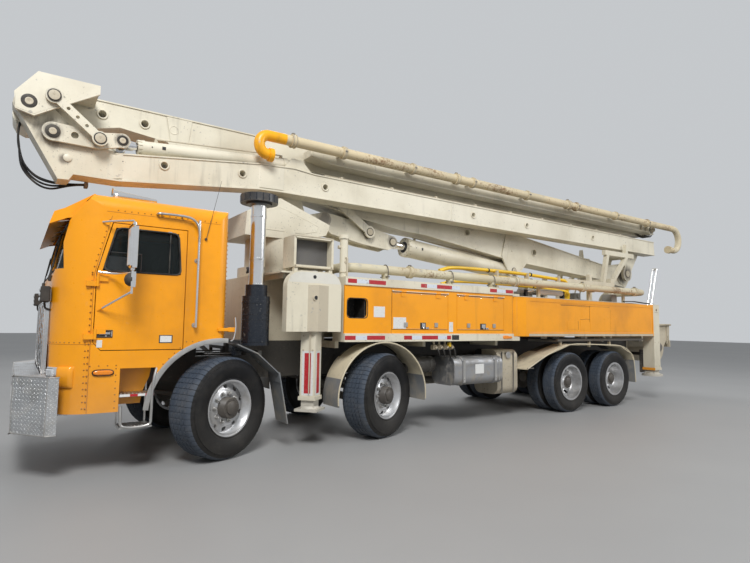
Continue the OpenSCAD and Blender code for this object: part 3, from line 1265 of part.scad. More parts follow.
fold_lever_y = [150, 490];
fold_plate = 40;
fold_cyl_y = 340;
module fold_lever() {
    color("#e8dcb8") place() difference() {
        union() {
            for (y = fold_lever_y) {
                prism_y([[fold_lever_pin[0], 3520], [1330, 3500], [fold_eye[0], 3540], [fold_eye[0] - 78, fold_eye[1]],
                    [fold_eye[0], 3385], [1330, 3320], [fold_lever_pin[0], 3325]], y, y + fold_plate);
                pin_y(fold_lever_pin, 98, y, y + fold_plate);
                pin_y(fold_eye, 80, y, y + fold_plate);
            }
            pin_y(fold_lever_pin, 55, fold_lever_y[0] - 4, fold_lever_y[1] + fold_plate + 4);
            // The rod's eye is left free between the ends of its pin
            for (y = [fold_lever_y[0], fold_cyl_y + 62]) pin_y(fold_eye, 40, y, y + 128);
            pin_y(fold_low_pin, 38, fold_lever_y[1] + 10, 622);
        }
        for (y = fold_lever_y) pin_y([1560, 3420], 36, y - 1, y + fold_plate + 1);
    }
}
module fold_link() {
    color("#e8dcb8") place() difference() {
        union() {
            link_y(fold_low_pin, fold_up_pin, 78, 80, 46, 585, 620);
            // Its upper pin's head and collar, which slide over the cheek
            pin_y(fold_up_pin, 56, 575 + run_gap, 586);
            pin_y(fold_up_pin, 40, 619, 630);
        }
        pin_y(fold_low_pin, 38 + pin_gap, 580, 625);
        for (i = [0.3, 0.5, 0.7]) pin_y(fold_low_pin + (fold_up_pin - fold_low_pin) * i, 18, 580, 625);
    }
}
fold_r = 80;
fold_rod_r = 38;
fold_stroke = 641;
fold_total = norm(fold_eye - fold_base_pin);
module fold_barrel() {
    color("#e8dcb8") along(fold_base_pin, fold_eye, fold_cyl_y)
        ram_barrel(1996, fold_r, 62, fold_rod_r, 62, 110, 36 + pin_gap);
}
module fold_rod() {
    color("silver") along(fold_base_pin, fold_eye, fold_cyl_y)
        ram_rod(fold_total, 1996 - 90 - fold_stroke - 150, 62, fold_rod_r, 72, 100, 40 + pin_gap);
}

// Assembly
chassis_frame();
engine();
axles();
bumper();
cab_shell();
cab_interior();
cab_glass();
grille();
cab_fittings();
air_stack();
cooler();
deck_lockers();
delivery_line();
pump_cells();
hopper();
boom_rest();
fenders();
tool_boxes();
outrigger_housing();
door(1);  // door_left
door(-1);  // door_right
door_glass(1);  // door_glass_left
door_glass(-1);  // door_glass_right
locker_door(locker_open[0]);  // locker_door_1
locker_door(locker_open[1]);  // locker_door_2
hopper_grate();
agitator();
knuckle(axle_1_x, steer_1, 1);  // knuckle_1_left
knuckle(axle_1_x, steer_1, -1);  // knuckle_1_right
knuckle(axle_2_x, steer_2, 1);  // knuckle_2_left
knuckle(axle_2_x, steer_2, -1);  // knuckle_2_right
steer_wheel(axle_1_x, steer_1, 1);  // wheel_1_left
steer_wheel(axle_1_x, steer_1, -1);  // wheel_1_right
steer_wheel(axle_2_x, steer_2, 1);  // wheel_2_left
steer_wheel(axle_2_x, steer_2, -1);  // wheel_2_right
twin(axle_3_x, 1);  // twin_3_left
twin(axle_3_x, -1);  // twin_3_right
twin(axle_4_x, 1);  // twin_4_left
twin(axle_4_x, -1);  // twin_4_right
front_arm(1);  // front_arm_left
front_arm(-1);  // front_arm_right
front_foot(1);  // front_foot_left
front_foot(-1);  // front_foot_right
rear_arm(1);  // rear_arm_left
rear_arm(-1);  // rear_arm_right
rear_foot(1);  // rear_foot_left
rear_foot(-1);  // rear_foot_right
turret();
boom_1();
boom_2();
boom_3();
boom_4();
lift_lever();
lift_link();
lift_barrel();
lift_rod();
fold_lever();
fold_link();
fold_barrel();
fold_rod();
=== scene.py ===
"""Looks of a four-axle concrete pump truck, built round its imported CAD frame."""

import json
import logging
import math
from dataclasses import dataclass
from enum import Enum
from functools import cache
from typing import Callable, Optional, Sequence, Union

import bmesh
import bpy
from mathutils import Matrix, Vector

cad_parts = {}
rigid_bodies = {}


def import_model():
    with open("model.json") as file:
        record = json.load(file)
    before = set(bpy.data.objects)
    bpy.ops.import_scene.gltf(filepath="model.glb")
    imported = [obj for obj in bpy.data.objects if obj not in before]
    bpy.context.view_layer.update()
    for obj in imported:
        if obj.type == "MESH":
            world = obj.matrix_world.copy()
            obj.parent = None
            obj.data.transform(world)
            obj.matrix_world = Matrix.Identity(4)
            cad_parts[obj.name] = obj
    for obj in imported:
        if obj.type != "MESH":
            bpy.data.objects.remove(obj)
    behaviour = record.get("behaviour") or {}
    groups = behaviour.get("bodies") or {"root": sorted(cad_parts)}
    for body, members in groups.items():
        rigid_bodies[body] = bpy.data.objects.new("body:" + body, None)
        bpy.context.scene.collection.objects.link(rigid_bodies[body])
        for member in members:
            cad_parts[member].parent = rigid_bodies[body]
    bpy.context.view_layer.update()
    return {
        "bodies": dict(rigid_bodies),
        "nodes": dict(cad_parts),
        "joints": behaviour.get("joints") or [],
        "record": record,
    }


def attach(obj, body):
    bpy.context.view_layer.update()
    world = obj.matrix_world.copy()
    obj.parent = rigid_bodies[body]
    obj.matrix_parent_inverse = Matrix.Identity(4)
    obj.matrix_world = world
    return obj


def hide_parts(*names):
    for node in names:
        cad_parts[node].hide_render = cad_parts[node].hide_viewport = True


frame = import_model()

log = logging.getLogger("pump_truck")
ORIGIN_X = 4.635
NODES = frame["nodes"]
Point = Sequence[float]
Number = Union[float, "Sock"]


def at(point: Point) -> Vector:
    """A point given in millimetres from the first axle's wheel faces, in the frame's metres."""
    return Vector((point[0] / 1000 + ORIGIN_X, point[1] / 1000, point[2] / 1000))


# Shader maths


def operator(operation: str, swapped: bool = False) -> Callable:
    """Makes a method of Sock that adds one Math node.

    Args:
        operation: the node's operation.
        swapped: whether the other value comes first.

    Returns:
        The method.
    """

    def method(sock: "Sock", other: Number = 0.0) -> "Sock":
        """Adds the node on the socket's value and another."""
        first, second = (other, sock) if swapped else (sock, other)
        return sock.graph.node("ShaderNodeMath", {"operation": operation}, {0: first, 1: second})

    return method


class Sock:
    """A socket in a material, on which Python's operators add Math nodes."""

    def __init__(self, graph: "Graph", source: object) -> None:
        """Wraps a socket of a graph."""
        self.graph = graph
        self.source = source

    __add__ = __radd__ = operator("ADD")
    __mul__ = __rmul__ = operator("MULTIPLY")
    __sub__ = operator("SUBTRACT")
    __rsub__ = operator("SUBTRACT", True)
    __truediv__ = operator("DIVIDE")
    __gt__ = operator("GREATER_THAN")
    __lt__ = operator("LESS_THAN")
    __abs__ = operator("ABSOLUTE")
    fract = operator("FRACT")
    floor = operator("FLOOR")
    most = operator("MAXIMUM")
    least = operator("MINIMUM")

    def step(self, low: float, high: float) -> "Sock":
        """A smooth rise from 0 at low to 1 at high."""
        limits = {"Value": self, "From Min": low, "From Max": high, "To Min": 0.0, "To Max": 1.0}
        return self.graph.node(
            "ShaderNodeMapRange", {"interpolation_type": "SMOOTHSTEP", "clamp": True}, limits
        )


class Graph:
    """The node tree of one material or of the world."""

    def __init__(self, owner: bpy.types.ID) -> None:
        """Empties the tree of a new material or world."""
        self.owner = owner
        owner.use_nodes = True
        self.tree = owner.node_tree
        self.tree.nodes.clear()
        self._cache: dict = {}

    def node(self, kind: str, settings: dict, values: dict, output: Union[int, str] = 0) -> Sock:
        """Adds one node.

        Args:
            kind: the node's Blender type.
            settings: its properties, set first.
            values: a number, colour or Sock for each named or numbered socket.
            output: the output that is wanted.

        Returns:
            That output, wrapped.
        """
        made = self.tree.nodes.new(kind)
        for key, value in settings.items():
            setattr(made, key, value)
        for key, value in values.items():
            if isinstance(value, Sock):
                value = value.source
            if isinstance(value, bpy.types.NodeSocket):
                self.tree.links.new(value, made.inputs[key])
            else:
                made.inputs[key].default_value = value
        return Sock(self, made.outputs[output])

    def place(self) -> Sock:
        """The point on the object, in metres, in the frame's directions."""
        if "place" not in self._cache:
            self._cache["place"] = self.node("ShaderNodeTexCoord", {}, {}, "Object")
        return self._cache["place"]

    def axis(self, letter: str) -> Sock:
        """One coordinate of the point on the object."""
        if letter not in self._cache:
            self._cache[letter] = self.node("ShaderNodeSeparateXYZ", {}, {0: self.place()}, letter)
        return self._cache[letter]

    def vector(self, operation: str, a: object, b: object = (0, 0, 0), output: Union[int, str] = 0) -> Sock:
        """Adds one Vector Math node of an operation on two vectors."""
        return self.node("ShaderNodeVectorMath", {"operation": operation}, {0: a, 1: b}, output)

    def from_axle(self, hub: tuple, way: tuple) -> Sock:
        """The distance, in metres, from a line through a point in millimetres along a direction."""
        arm = self.vector("SUBTRACT", self.place(), tuple(at(hub)))
        return self.vector("LENGTH", self.vector("CROSS_PRODUCT", arm, way), output="Value")

    def facing(self, letter: str) -> Sock:
        """One coordinate of the surface's direction."""
        key = "facing" + letter
        if key not in self._cache:
            normal = self.node("ShaderNodeTexCoord", {}, {}, "Normal")
            self._cache[key] = self.node("ShaderNodeSeparateXYZ", {}, {0: normal}, letter)
        return self._cache[key]

    def noise(
        self, scale: float, detail: float = 3.0, stretch: Point = (1, 1, 1), rough: float = 0.55
    ) -> Sock:
        """A noise of the point on the object.

        Args:
            scale: its features in a metre.
            detail: its octaves.
            stretch: a factor for each direction.
            rough: how strong the finer octaves are.

        Returns:
            The noise, about 0 to 1.
        """
        key = ("noise", scale, detail, tuple(stretch), rough)
        if key not in self._cache:
            where = self.place()
            if tuple(stretch) != (1, 1, 1):
                where = self.vector("MULTIPLY", where, tuple(stretch))
            self._cache[key] = self.node(
                "ShaderNodeTexNoise", {},
                {"Vector": where, "Scale": scale, "Detail": detail, "Roughness": rough}
            )
        return self._cache[key]

    def mix(self, share: Number, a: object, b: object) -> Sock:
        """A colour between two colours, by a share of the second."""
        return self.node(
            "ShaderNodeMix", {"data_type": "RGBA", "clamp_factor": True}, {0: share, 6: a, 7: b}, 2
        )

    def blend(self, share: Sock, a: Number, b: Number) -> Sock:
        """A number between two numbers, by a share of the second."""
        return share * (b - a) + a

    def close(self, shader: Sock, kind: str = "ShaderNodeOutputMaterial") -> bpy.types.ID:
        """Links a shader to an output node of a kind and returns the tree's owner."""
        output = self.tree.nodes.new(kind)
        self.tree.links.new(shader.source, output.inputs["Surface"])
        return self.owner


def rgb(red: float, green: float, blue: float) -> tuple:
    """A colour with full alpha."""
    return (red, green, blue, 1.0)


@dataclass
class Layer:
    """What one finish gives the shader at each point."""

    colour: object
    rough: Number
    metal: Number
    height: Optional[Sock] = None
    coat: float = 0.0
    shine: float = 0.5


DUST = rgb(0.30, 0.27, 0.22)
RUST = rgb(0.16, 0.055, 0.02)
GRIME = rgb(0.045, 0.038, 0.03)
CONCRETE = rgb(0.36, 0.34, 0.30)


@dataclass(frozen=True)
class Paint:
    """Painted metal with a tone that wanders, dust, runs of dirt, rusty chips and splashes."""

    colour: tuple
    rough: float = 0.35
    dust: float = 0.25
    runs: float = 0.2
    chips: float = 0.3
    splash: float = 0.0
    low_dirt: float = 0.5
    coat: float = 0.0
    metal: float = 0.0

    def layer(self, graph: Graph) -> Layer:
        """The finish's layer in a graph."""
        wander = graph.noise(1.3, 4.0)
        fine = graph.noise(38.0, 5.0)
        red, green, blue = self.colour[:3]
        shade = rgb(red * 0.80, green * 0.78, blue * 0.74)
        colour = graph.mix(wander.step(0.38, 0.72), self.colour, shade)
        up = graph.facing("Z").step(0.35, 0.9)
        settled = (wander * 0.6 + fine * 0.5).step(0.46, 0.68)
        dust = ((up * 0.75 + 0.25) * settled * self.dust).least(1.0)
        colour = graph.mix(dust, colour, DUST)
        rough = dust * 0.35 + (fine * 0.14 + (self.rough - 0.07))
        if self.runs:
            streak = graph.noise(9.0, 4.0, (1.0, 1.0, 0.09), 0.6).step(0.54, 0.74)
            patch = graph.noise(0.9, 2.0).step(0.42, 0.7)
            side = 1 - up
            colour = graph.mix(streak * patch * side * self.runs, colour, GRIME)
        if self.low_dirt:
            height = graph.axis("Z")
            low = (1 - (height + fine * 0.35).step(0.45, 1.35)) * self.low_dirt
            colour = graph.mix(low * 0.8, colour, DUST)
            rough = rough + low * 0.2
        if self.splash:
            dots = graph.noise(
                26.0, 2.0, rough=0.4
            ).step(0.66, 0.70) * graph.noise(2.1, 2.0).step(0.45, 0.62)
            colour = graph.mix(dots * self.splash, colour, CONCRETE)
            drips = graph.noise(
                60.0, 2.0, rough=0.4
            ).step(0.69, 0.72) * graph.noise(1.1, 3.0).step(0.48, 0.6)
            colour = graph.mix(drips * self.splash, colour, GRIME)
            rough = rough + dots * (0.3 * self.splash)
        metal: Number = self.metal
        bump = fine * 0.0004
        if self.chips:
            spots = graph.noise(17.0, 6.0, rough=0.75).step(0.665, 0.70)
            spots = spots * (graph.noise(3.0, 3.0).step(0.50, 0.62) * self.chips).least(1.0)
            colour = graph.mix(spots, colour, RUST)
            rough = rough + spots * 0.35
            bump = bump - spots * 0.0004
        return Layer(colour, rough, metal, bump, self.coat)


@dataclass(frozen=True)
class BareMetal:
    """Metal without paint, with fine scratches, stains and dust."""

    colour: tuple
    rough: float = 0.3
    stain: float = 0.3
    dust: float = 0.2
    brushed: tuple = (1, 1, 1)
    low_dirt: float = 0.0

    def layer(self, graph: Graph) -> Layer:
        """The finish's layer in a graph."""
        scratch = graph.noise(90.0, 4.0, self.brushed, 0.7)
        cloud = graph.noise(4.0, 4.0)
        red, green, blue = self.colour[:3]
        stain = cloud.step(0.46, 0.72) * self.stain
        colour = graph.mix(stain, self.colour, rgb(red * 0.42, green * 0.38, blue * 0.33))
        dust = (graph.noise(12.0, 5.0).step(0.44, 0.7) * self.dust).least(1.0)
        if self.low_dirt:
            dust = (dust + (1 - graph.axis("Z").step(0.5, 1.3)) * self.low_dirt).least(1.0)
        colour = graph.mix(dust, colour, DUST)
        rough = scratch * 0.2 + (self.rough - 0.1) + stain * 0.2 + dust * 0.45
        metal = 1 - dust * 0.85
        return Layer(colour, rough, metal, scratch * 0.0002)


@dataclass(frozen=True)
class Moulded:
    """Rubber, plastic or cloth: not metal, with a grain and settled dust."""

    colour: tuple
    rough: float = 0.7
    dust: float = 0.35
    grain: float = 60.0
    relief: float = 0.0005
    low_dirt: float = 0.0

    def layer(self, graph: Graph) -> Layer:
        """The finish's layer in a graph."""
        grain = graph.noise(self.grain, 3.0)
        cloud = graph.noise(5.0, 5.0, rough=0.65)
        dust = (cloud.step(0.40, 0.72) * self.dust).least(1.0)
        if self.low_dirt:
            dust = (dust + (1 - (graph.axis("Z") + cloud * 0.5).step(0.3, 1.2)) * self.low_dirt).least(1.0)
        colour = graph.mix(dust, self.colour, DUST)
        return Layer(
            colour, grain * 0.16 + (self.rough - 0.08) + dust * 0.1, 0.0, grain * self.relief, 0.0, 0.2
        )


@dataclass(frozen=True)
class TreadPlate:
    """Aluminium sheet with raised diamonds, pressed every few centimetres."""

    pitch: float = 0.036
    base: BareMetal = BareMetal(rgb(0.62, 0.63, 0.64), 0.32, 0.5, 0.35)

    def layer(self, graph: Graph) -> Layer:
        """The finish's layer in a graph."""
        under = self.base.layer(graph)
        flat = graph.facing("Z").step(0.5, 0.6)
        side = abs(graph.facing("X")).step(0.4, 0.5)
        across = graph.blend(side, graph.axis("X"), graph.axis("Y"))
        wide = graph.blend(flat, across, graph.axis("Y"))
        high = graph.blend(flat, graph.axis("Z"), graph.axis("X"))
        u, v = (wide + high) / self.pitch, (wide - high) / self.pitch
        turn = ((u.floor() + v.floor()) * 0.5).fract() > 0.25
        du, dv = abs(u.fract() - 0.5), abs(v.fract() - 0.5)
        long_way, short_way = graph.blend(turn, du, dv), graph.blend(turn, dv, du)
        diamond = 1 - (long_way * 2.0 + short_way * 6.0).step(0.75, 1.1)
        colour = graph.mix(diamond * 0.5, under.colour, rgb(0.85, 0.86, 0.87))
        return Layer(colour, graph.blend(diamond, under.rough, 0.28), under.metal, diamond * 0.0022)


class TapeColour(Enum):
    """The colours of reflective tape."""

    RED = rgb(0.42, 0.008, 0.014)
    WHITE = rgb(0.62, 0.66, 0.72)


@dataclass(frozen=True)
class Tape:
    """Reflective tape of one colour, pressed in a comb and worn in spots."""

    shade: TapeColour

    def layer(self, graph: Graph) -> Layer:
        """The finish's layer in a graph."""
        colour = self.shade.value
        comb = ((graph.axis("X") + graph.axis("Z")) / 0.012).fract().step(0.3, 0.6)
        colour = graph.mix(comb * 0.12, colour, rgb(0.2, 0.2, 0.22))
        worn = graph.noise(30.0, 4.0).step(0.6, 0.68) * 0.5
        return Layer(graph.mix(worn, colour, DUST), worn * 0.3 + 0.28, 0.0, worn * -0.0003)


@dataclass(frozen=True)
class FineMesh:
    """A dark core behind a fine square mesh, such as a cooler's fins."""

    pitch: float = 0.012
    light: tuple = rgb(0.22, 0.21, 0.20)

    def layer(self, graph: Graph) -> Layer:
        """The finish's layer in a graph."""
        wire = abs((graph.axis("X") / self.pitch).fract() - 0.5).step(0.30, 0.42)
        cross = abs((graph.axis("Z") / self.pitch).fract() - 0.5).step(0.30, 0.42)
        net = wire.most(cross)
        clogged = graph.noise(7.0, 4.0).step(0.4, 0.75) * 0.6
        colour = graph.mix(clogged, graph.mix(net, rgb(0.03, 0.03, 0.03), self.light), rgb(0.15, 0.14, 0.12))
        return Layer(colour, 0.65, 0.3, net * 0.001)


@dataclass(frozen=True)
class Plain:
    """A small part in one finish, with a faint wear only: lamps, plates, lenses."""

    colour: tuple
    rough: float = 0.25
    metal: float = 0.0
    ribs: float = 0.0
    coat: float = 0.0

    def layer(self, graph: Graph) -> Layer:
        """The finish's layer in a graph."""
        wear = graph.noise(45.0, 4.0)
        colour = graph.mix(wear.step(0.52, 0.75) * 0.35, self.colour, DUST)
        height = wear * 0.0002
        if self.ribs:
            height = (graph.axis("Z") / self.ribs).fract() * 0.0015
        return Layer(colour, wear * 0.12 + (self.rough - 0.06), self.metal, height, self.coat)


@dataclass(frozen=True)
class Bumpy:
    """A patchy old coat on a pipe: yellow or cream paint over rust and dried concrete."""

    colour: tuple
    bare: float = 0.5

    def layer(self, graph: Graph) -> Layer:
        """The finish's layer in a graph."""
        big = graph.noise(3.2, 6.0, (0.45, 1, 1), 0.68)
        small = graph.noise(30.0, 5.0)
        rust = (big * 0.7 + small * 0.4).step(0.66 - 0.16 * self.bare, 0.78 - 0.16 * self.bare)
        colour = graph.mix(graph.noise(1.7, 3.0).step(0.4, 0.7), self.colour, rgb(0.50, 0.43, 0.29))
        colour = graph.mix(rust * 0.85, colour, rgb(0.20, 0.10, 0.045))
        cement = graph.noise(9.0, 4.0).step(0.56, 0.70) * graph.facing("Z").step(-0.2, 0.6)
        colour = graph.mix(cement * 0.7, colour, CONCRETE)
        return Layer(colour, 0.62 + rust * 0.2, 0.0, small * 0.0012 + cement * 0.002)


FinishKind = Union[Paint, BareMetal, Moulded, TreadPlate, Tape, FineMesh, Plain, Bumpy]


@dataclass(frozen=True)
class Zone:
    """A box, in millimetres from the first axle's wheel faces, in which another finish shows."""

    finish: FinishKind
    low: tuple
    high: tuple
    mirrored: bool = False

    def mask(self, graph: Graph) -> Sock:
        """1 inside the box and 0 outside it."""
        inside: Optional[Sock] = None
        for i, letter in enumerate("XYZ"):
            place = graph.axis(letter)
            if letter == "Y" and self.mirrored:
                place = abs(place)
            for limit, above in ((self.low[i], True), (self.high[i], False)):
                if limit is None:
                    continue
                metres = limit / 1000 + (ORIGIN_X if i == 0 else 0.0)
                test = place > metres if above else place < metres
                inside = test if inside is None else inside * test
        return inside


@dataclass(frozen=True)
class RoundZone:
    """The inside of a cylinder about a wheel's axle, in which another finish shows."""

    finish: FinishKind
    hub: tuple
    turn: float
    radius: float

    def mask(self, graph: Graph) -> Sock:
        """1 nearer to the axle than the radius, and 0 further out."""
        way = (-math.sin(self.turn), math.cos(self.turn), 0.0)
        return graph.from_axle(self.hub, way) < self.radius / 1000


@dataclass(frozen=True)
class TreadZone(RoundZone):
    """The outside of a cylinder about a wheel's axle, in which another finish shows."""

    def mask(self, graph: Graph) -> Sock:
        """1 further from the axle than the radius."""
        return 1 - super().mask(graph)


@dataclass(frozen=True)
class StainZone(RoundZone):
    """A soft, broken patch of oil and dirt about an axle or a pin."""

    def mask(self, graph: Graph) -> Sock:
        """Strongest at the pin, broken up and fading to 0 at the radius."""
        reach = graph.from_axle(self.hub, (0.0, 1.0, 0.0)) / (self.radius / 1000)
        broken = graph.noise(16.0, 5.0, (1.0, 1.0, 0.35), 0.65)
        return ((1 - reach) * 1.1 + broken - 0.5).step(0.12, 0.75) * 0.8


def stains(*pins: tuple) -> list:
    """Stain zones about some pins, each given as x, z and the stain's radius."""
    return [StainZone(OILY, (x, 0.0, z), 0.0, radius) for x, z, radius in pins]


def surface(
    name: str, finish: FinishKind, zones: Sequence[Union[Zone, RoundZone]] = ()
) -> bpy.types.Material:
    """A material of one finish, with other finishes in some zones.

    Args:
        name: the material's name.
        finish: what covers it all.
        zones: boxes in which another finish shows.

    Returns:
        The material.
    """
    graph = Graph(bpy.data.materials.new(name))
    base = finish.layer(graph)
    height = base.height if base.height is not None else graph.noise(60.0) * 0.0
    for zone in zones:
        share, over = zone.mask(graph), zone.finish.layer(graph)
        base.colour = graph.mix(share, base.colour, over.colour)
        base.rough = graph.blend(share, base.rough, over.rough)
        base.metal = graph.blend(share, base.metal, over.metal)
        if over.height is not None:
            height = graph.blend(share, height, over.height)
    bump = graph.node("ShaderNodeBump", {}, {"Strength": 0.8, "Distance": 1.0, "Height": height})
    inputs = {"Base Color": base.colour, "Roughness": base.rough, "Metallic": base.metal, "Normal": bump}
    inputs |= {"Coat Weight": base.coat, "Specular IOR Level": base.shine}
    return graph.close(graph.node("ShaderNodeBsdfPrincipled", {}, inputs))


def glass(name: str, tint: tuple, clear: float) -> bpy.types.Material:
    """Window glass that lets light through, with smears of dust.

    Args:
        name: the material's name.
        tint: its colour.
        clear: how much of it is see-through, from 0 to 1.

    Returns:
        The material.
    """
    graph = Graph(bpy.data.materials.new(name))
    smear = graph.noise(2.4, 5.0, (1, 1, 0.5)).step(0.45, 0.75)
    film = smear * 0.12
    inputs = {"Base Color": graph.mix(film, tint, DUST), "Roughness": film + 0.03}
    inputs |= {"Alpha": film + (1 - clear), "Specular IOR Level": 0.25}
    return graph.close(graph.node("ShaderNodeBsdfPrincipled", {}, inputs))


# Meshes


def around(count: int, radius: float = 1.0, start: float = 0.0) -> list:
    """Points evenly round a circle, as pairs of flat coordinates."""
    turns = [2 * math.pi * i / count + start for i in range(count)]
    return [(radius * math.cos(t), radius * math.sin(t)) for t in turns]


def circle(centre: Vector, across: Vector, other: Vector, radius: float, sides: int) -> list:
    """Points round a circle in the plane of two directions."""
    return [centre + (across * u + other * v) * radius for u, v in around(sides)]


def square_to(way: Vector) -> tuple:
    """Two directions at right angles to one and to each other."""
    across = way.orthogonal().normalized()
    return across, way.cross(across)


def link(name: str, data: bpy.types.ID) -> bpy.types.Object:
    """A new object of some data, in the scene."""
    made = bpy.data.objects.new(name, data)
    bpy.context.scene.collection.objects.link(made)
    return made


class Shape:
    """A mesh under construction, in millimetres from the first axle's wheel faces."""

    def __init__(self, matrix: Optional[Matrix] = None) -> None:
        """Starts an empty mesh, with a matrix in metres that places a part drawn about its own origin."""
        self.bm = bmesh.new()
        self.matrix = matrix

    def _put(self, point: Point) -> bmesh.types.BMVert:
        """One vertex."""
        if self.matrix is None:
            return self.bm.verts.new(at(point))
        return self.bm.verts.new(self.matrix @ (Vector(point) / 1000))

    def loops(self, rings: Sequence[Sequence[Point]], closed: bool = False, caps: bool = True) -> "Shape":
        """Joins rings of points of one length into a skin.

        Args:
            rings: the rings, in order.
            closed: whether the last ring joins the first.
            caps: whether the end rings are filled.

        Returns:
            This shape.
        """
        made = [[self._put(p) for p in ring] for ring in rings]
        pairs = list(zip(made, made[1:])) + ([(made[-1], made[0])] if closed else [])
        for one, two in pairs:
            for i in range(len(one)):
                j = (i + 1) % len(one)
                self.bm.faces.new((one[i], one[j], two[j], two[i]))
        if caps and not closed:
            self.bm.faces.new(list(reversed(made[0])))
            self.bm.faces.new(made[-1])
        return self

    def box(self, x: Point, y: Point, z: Point, cut: float = 3.0) -> "Shape":
        """A block between two limits in each direction, its edges cut off by a few millimetres."""
        y = sorted(y)
        c = min(cut, (x[1] - x[0]) * 0.45, (y[1] - y[0]) * 0.45, (z[1] - z[0]) * 0.45)
        rings = []
        for level, inset in ((z[0], c), (z[0] + c, 0.0), (z[1] - c, 0.0), (z[1], c)):
            a, b, p, q = x[0] + inset, x[1] - inset, y[0] + inset, y[1] - inset
            flat = (
                (a + c, p), (b - c, p), (b, p + c), (b, q - c), (b - c, q), (a + c, q), (a, q - c),
                (a, p + c)
            )
            rings.append([(u, v, level) for u, v in flat])
        return self.loops(rings)

    def rod(
        self, a: Point, b: Point, radius: float, sides: int = 16, end_radius: Optional[float] = None,
        cut: float = 2.0
    ) -> "Shape":
        """A round bar or cone from a to b, its ends' edges cut off."""
        a, b = Vector(a), Vector(b)
        way = (b - a).normalized()
        across, other = square_to(way)
        last = radius if end_radius is None else end_radius
        c = min(cut, radius * 0.4, last * 0.4, (b - a).length * 0.4)
        stations = ((a, radius - c), (a + way * c, radius), (b - way * c, last), (b, last - c))
        return self.loops([circle(centre, across, other, r, sides) for centre, r in stations])

    def hose(self, points: Sequence[Point], radius: float, sides: int = 10, steps: int = 6) -> "Shape":
        """A round tube along a smooth curve through some points."""
        pts = [Vector(p) for p in points]
        ext = [pts[0] * 2 - pts[1], *pts, pts[-1] * 2 - pts[-2]]
        line: list = []
        for p0, p1, p2, p3 in zip(ext, ext[1:], ext[2:], ext[3:]):
            for k in range(steps):
                t = k / steps
                bend, twist = p0 * 2 - p1 * 5 + p2 * 4 - p3, p1 * 3 - p0 - p2 * 3 + p3
                line.append((p1 * 2 + (p2 - p0) * t + bend * t * t + twist * t**3) / 2)
        line.append(pts[-1])
        across = (line[1] - line[0]).orthogonal().normalized()
        rings = []
        for i, centre in enumerate(line):
            way = (line[min(i + 1, len(line) - 1)] - line[max(i - 1, 0)]).normalized()
            across = (across - way * across.dot(way)).normalized()
            other = way.cross(across)
            rings.append(circle(centre, across, other, radius, sides))
        return self.loops(rings)

    def lathe(
        self, profile: Sequence[Point], centre: Point, axis: str = "Y", sides: int = 48, closed: bool = True
    ) -> "Shape":
        """A turned body.

        Args:
            profile: points as (radius, distance along the axis).
            centre: the axis's point that distances start from.
            axis: X, Y or Z.
            sides: facets round the axis.
            closed: whether the profile closes on itself; otherwise its ends are filled.

        Returns:
            This shape.
        """
        rings = []
        for radius, along in profile:
            ring = []
            for u, v in around(sides, radius):
                offset = {"X": (along, u, v), "Y": (v, along, u), "Z": (u, v, along)}[axis]
                ring.append(tuple(c + o for c, o in zip(centre, offset)))
            rings.append(ring)
        return self.loops(rings, closed=closed, caps=not closed)

    def sheet(self, outline: Sequence[Point], thick: Point) -> "Shape":
        """A plate whose outline's points are given in space, moved by a vector for its thickness."""
        lower = [Vector(p) for p in outline]
        return self.loops([lower, [p + Vector(thick) for p in lower]])

    def prism(self, outline: Sequence[Point], axis: str, low: float, high: float) -> "Shape":
        """A plate of an outline in the other two coordinates, between two heights along an axis."""
        slot = "XYZ".index(axis)
        return self.loops([[(*p[:slot], height, *p[slot:]) for p in outline] for height in (low, high)])

    def bolt(self, point: Point, way: Point, size: float = 12.0) -> "Shape":
        """A hexagon head on its washer, standing on a surface."""
        base, way = Vector(point), Vector(way).normalized()
        self.rod(base - way * 1.5, base + way * size * 0.18, size * 0.95, 12, cut=0.8)
        return self.rod(base, base + way * size * 0.75, size * 0.62, 6, cut=0.8)

    def rivet(self, point: Point, way: Point, radius: float = 4.0) -> "Shape":
        """A round rivet head."""
        base, way = Vector(point), Vector(way).normalized()
        return self.rod(base - way, base + way * radius * 0.55, radius, 8, radius * 0.55, 0.5)

    def weld(self, a: Point, b: Point, radius: float = 5.0) -> "Shape":
        """A weld seam, slightly scaled along its length."""
        a, b = Vector(a), Vector(b)
        count = max(2, int((b - a).length / 45))
        across, other = square_to((b - a).normalized())
        radii = [radius * (1.0 if i % 2 else 0.82) for i in range(count + 1)]
        return self.loops([circle(a.lerp(b, i / count), across, other, r, 6) for i, r in enumerate(radii)])

    def twin(self) -> "Shape":
        """Adds the mirror image of what is drawn so far, on the truck's other side."""
        old = list(self.bm.verts) + list(self.bm.edges) + list(self.bm.faces)
        made = bmesh.ops.duplicate(self.bm, geom=old)["geom"]
        for vert in (g for g in made if isinstance(g, bmesh.types.BMVert)):
            vert.co.y = -vert.co.y
        return self

    def done(
        self, name: str, coat: Union["Coat", bpy.types.Material], body: str = "truck", slot: str = ""
    ) -> None:
        """Makes the piece.

        Args:
            name: the piece's name.
            coat: its shared finish, or a material of its own.
            body: the CAD body that it rides on.
            slot: not used.
        """
        bmesh.ops.recalc_face_normals(self.bm, faces=self.bm.faces)
        mesh = bpy.data.meshes.new(name)
        self.bm.to_mesh(mesh)
        self.bm.free()
        if isinstance(coat, Coat):
            add_piece(name, mesh, coat_material(coat), body)
        else:
            add_piece(name, mesh, coat, body)


def shapes(count: int) -> list:
    """Some empty meshes."""
    return [Shape() for _ in range(count)]


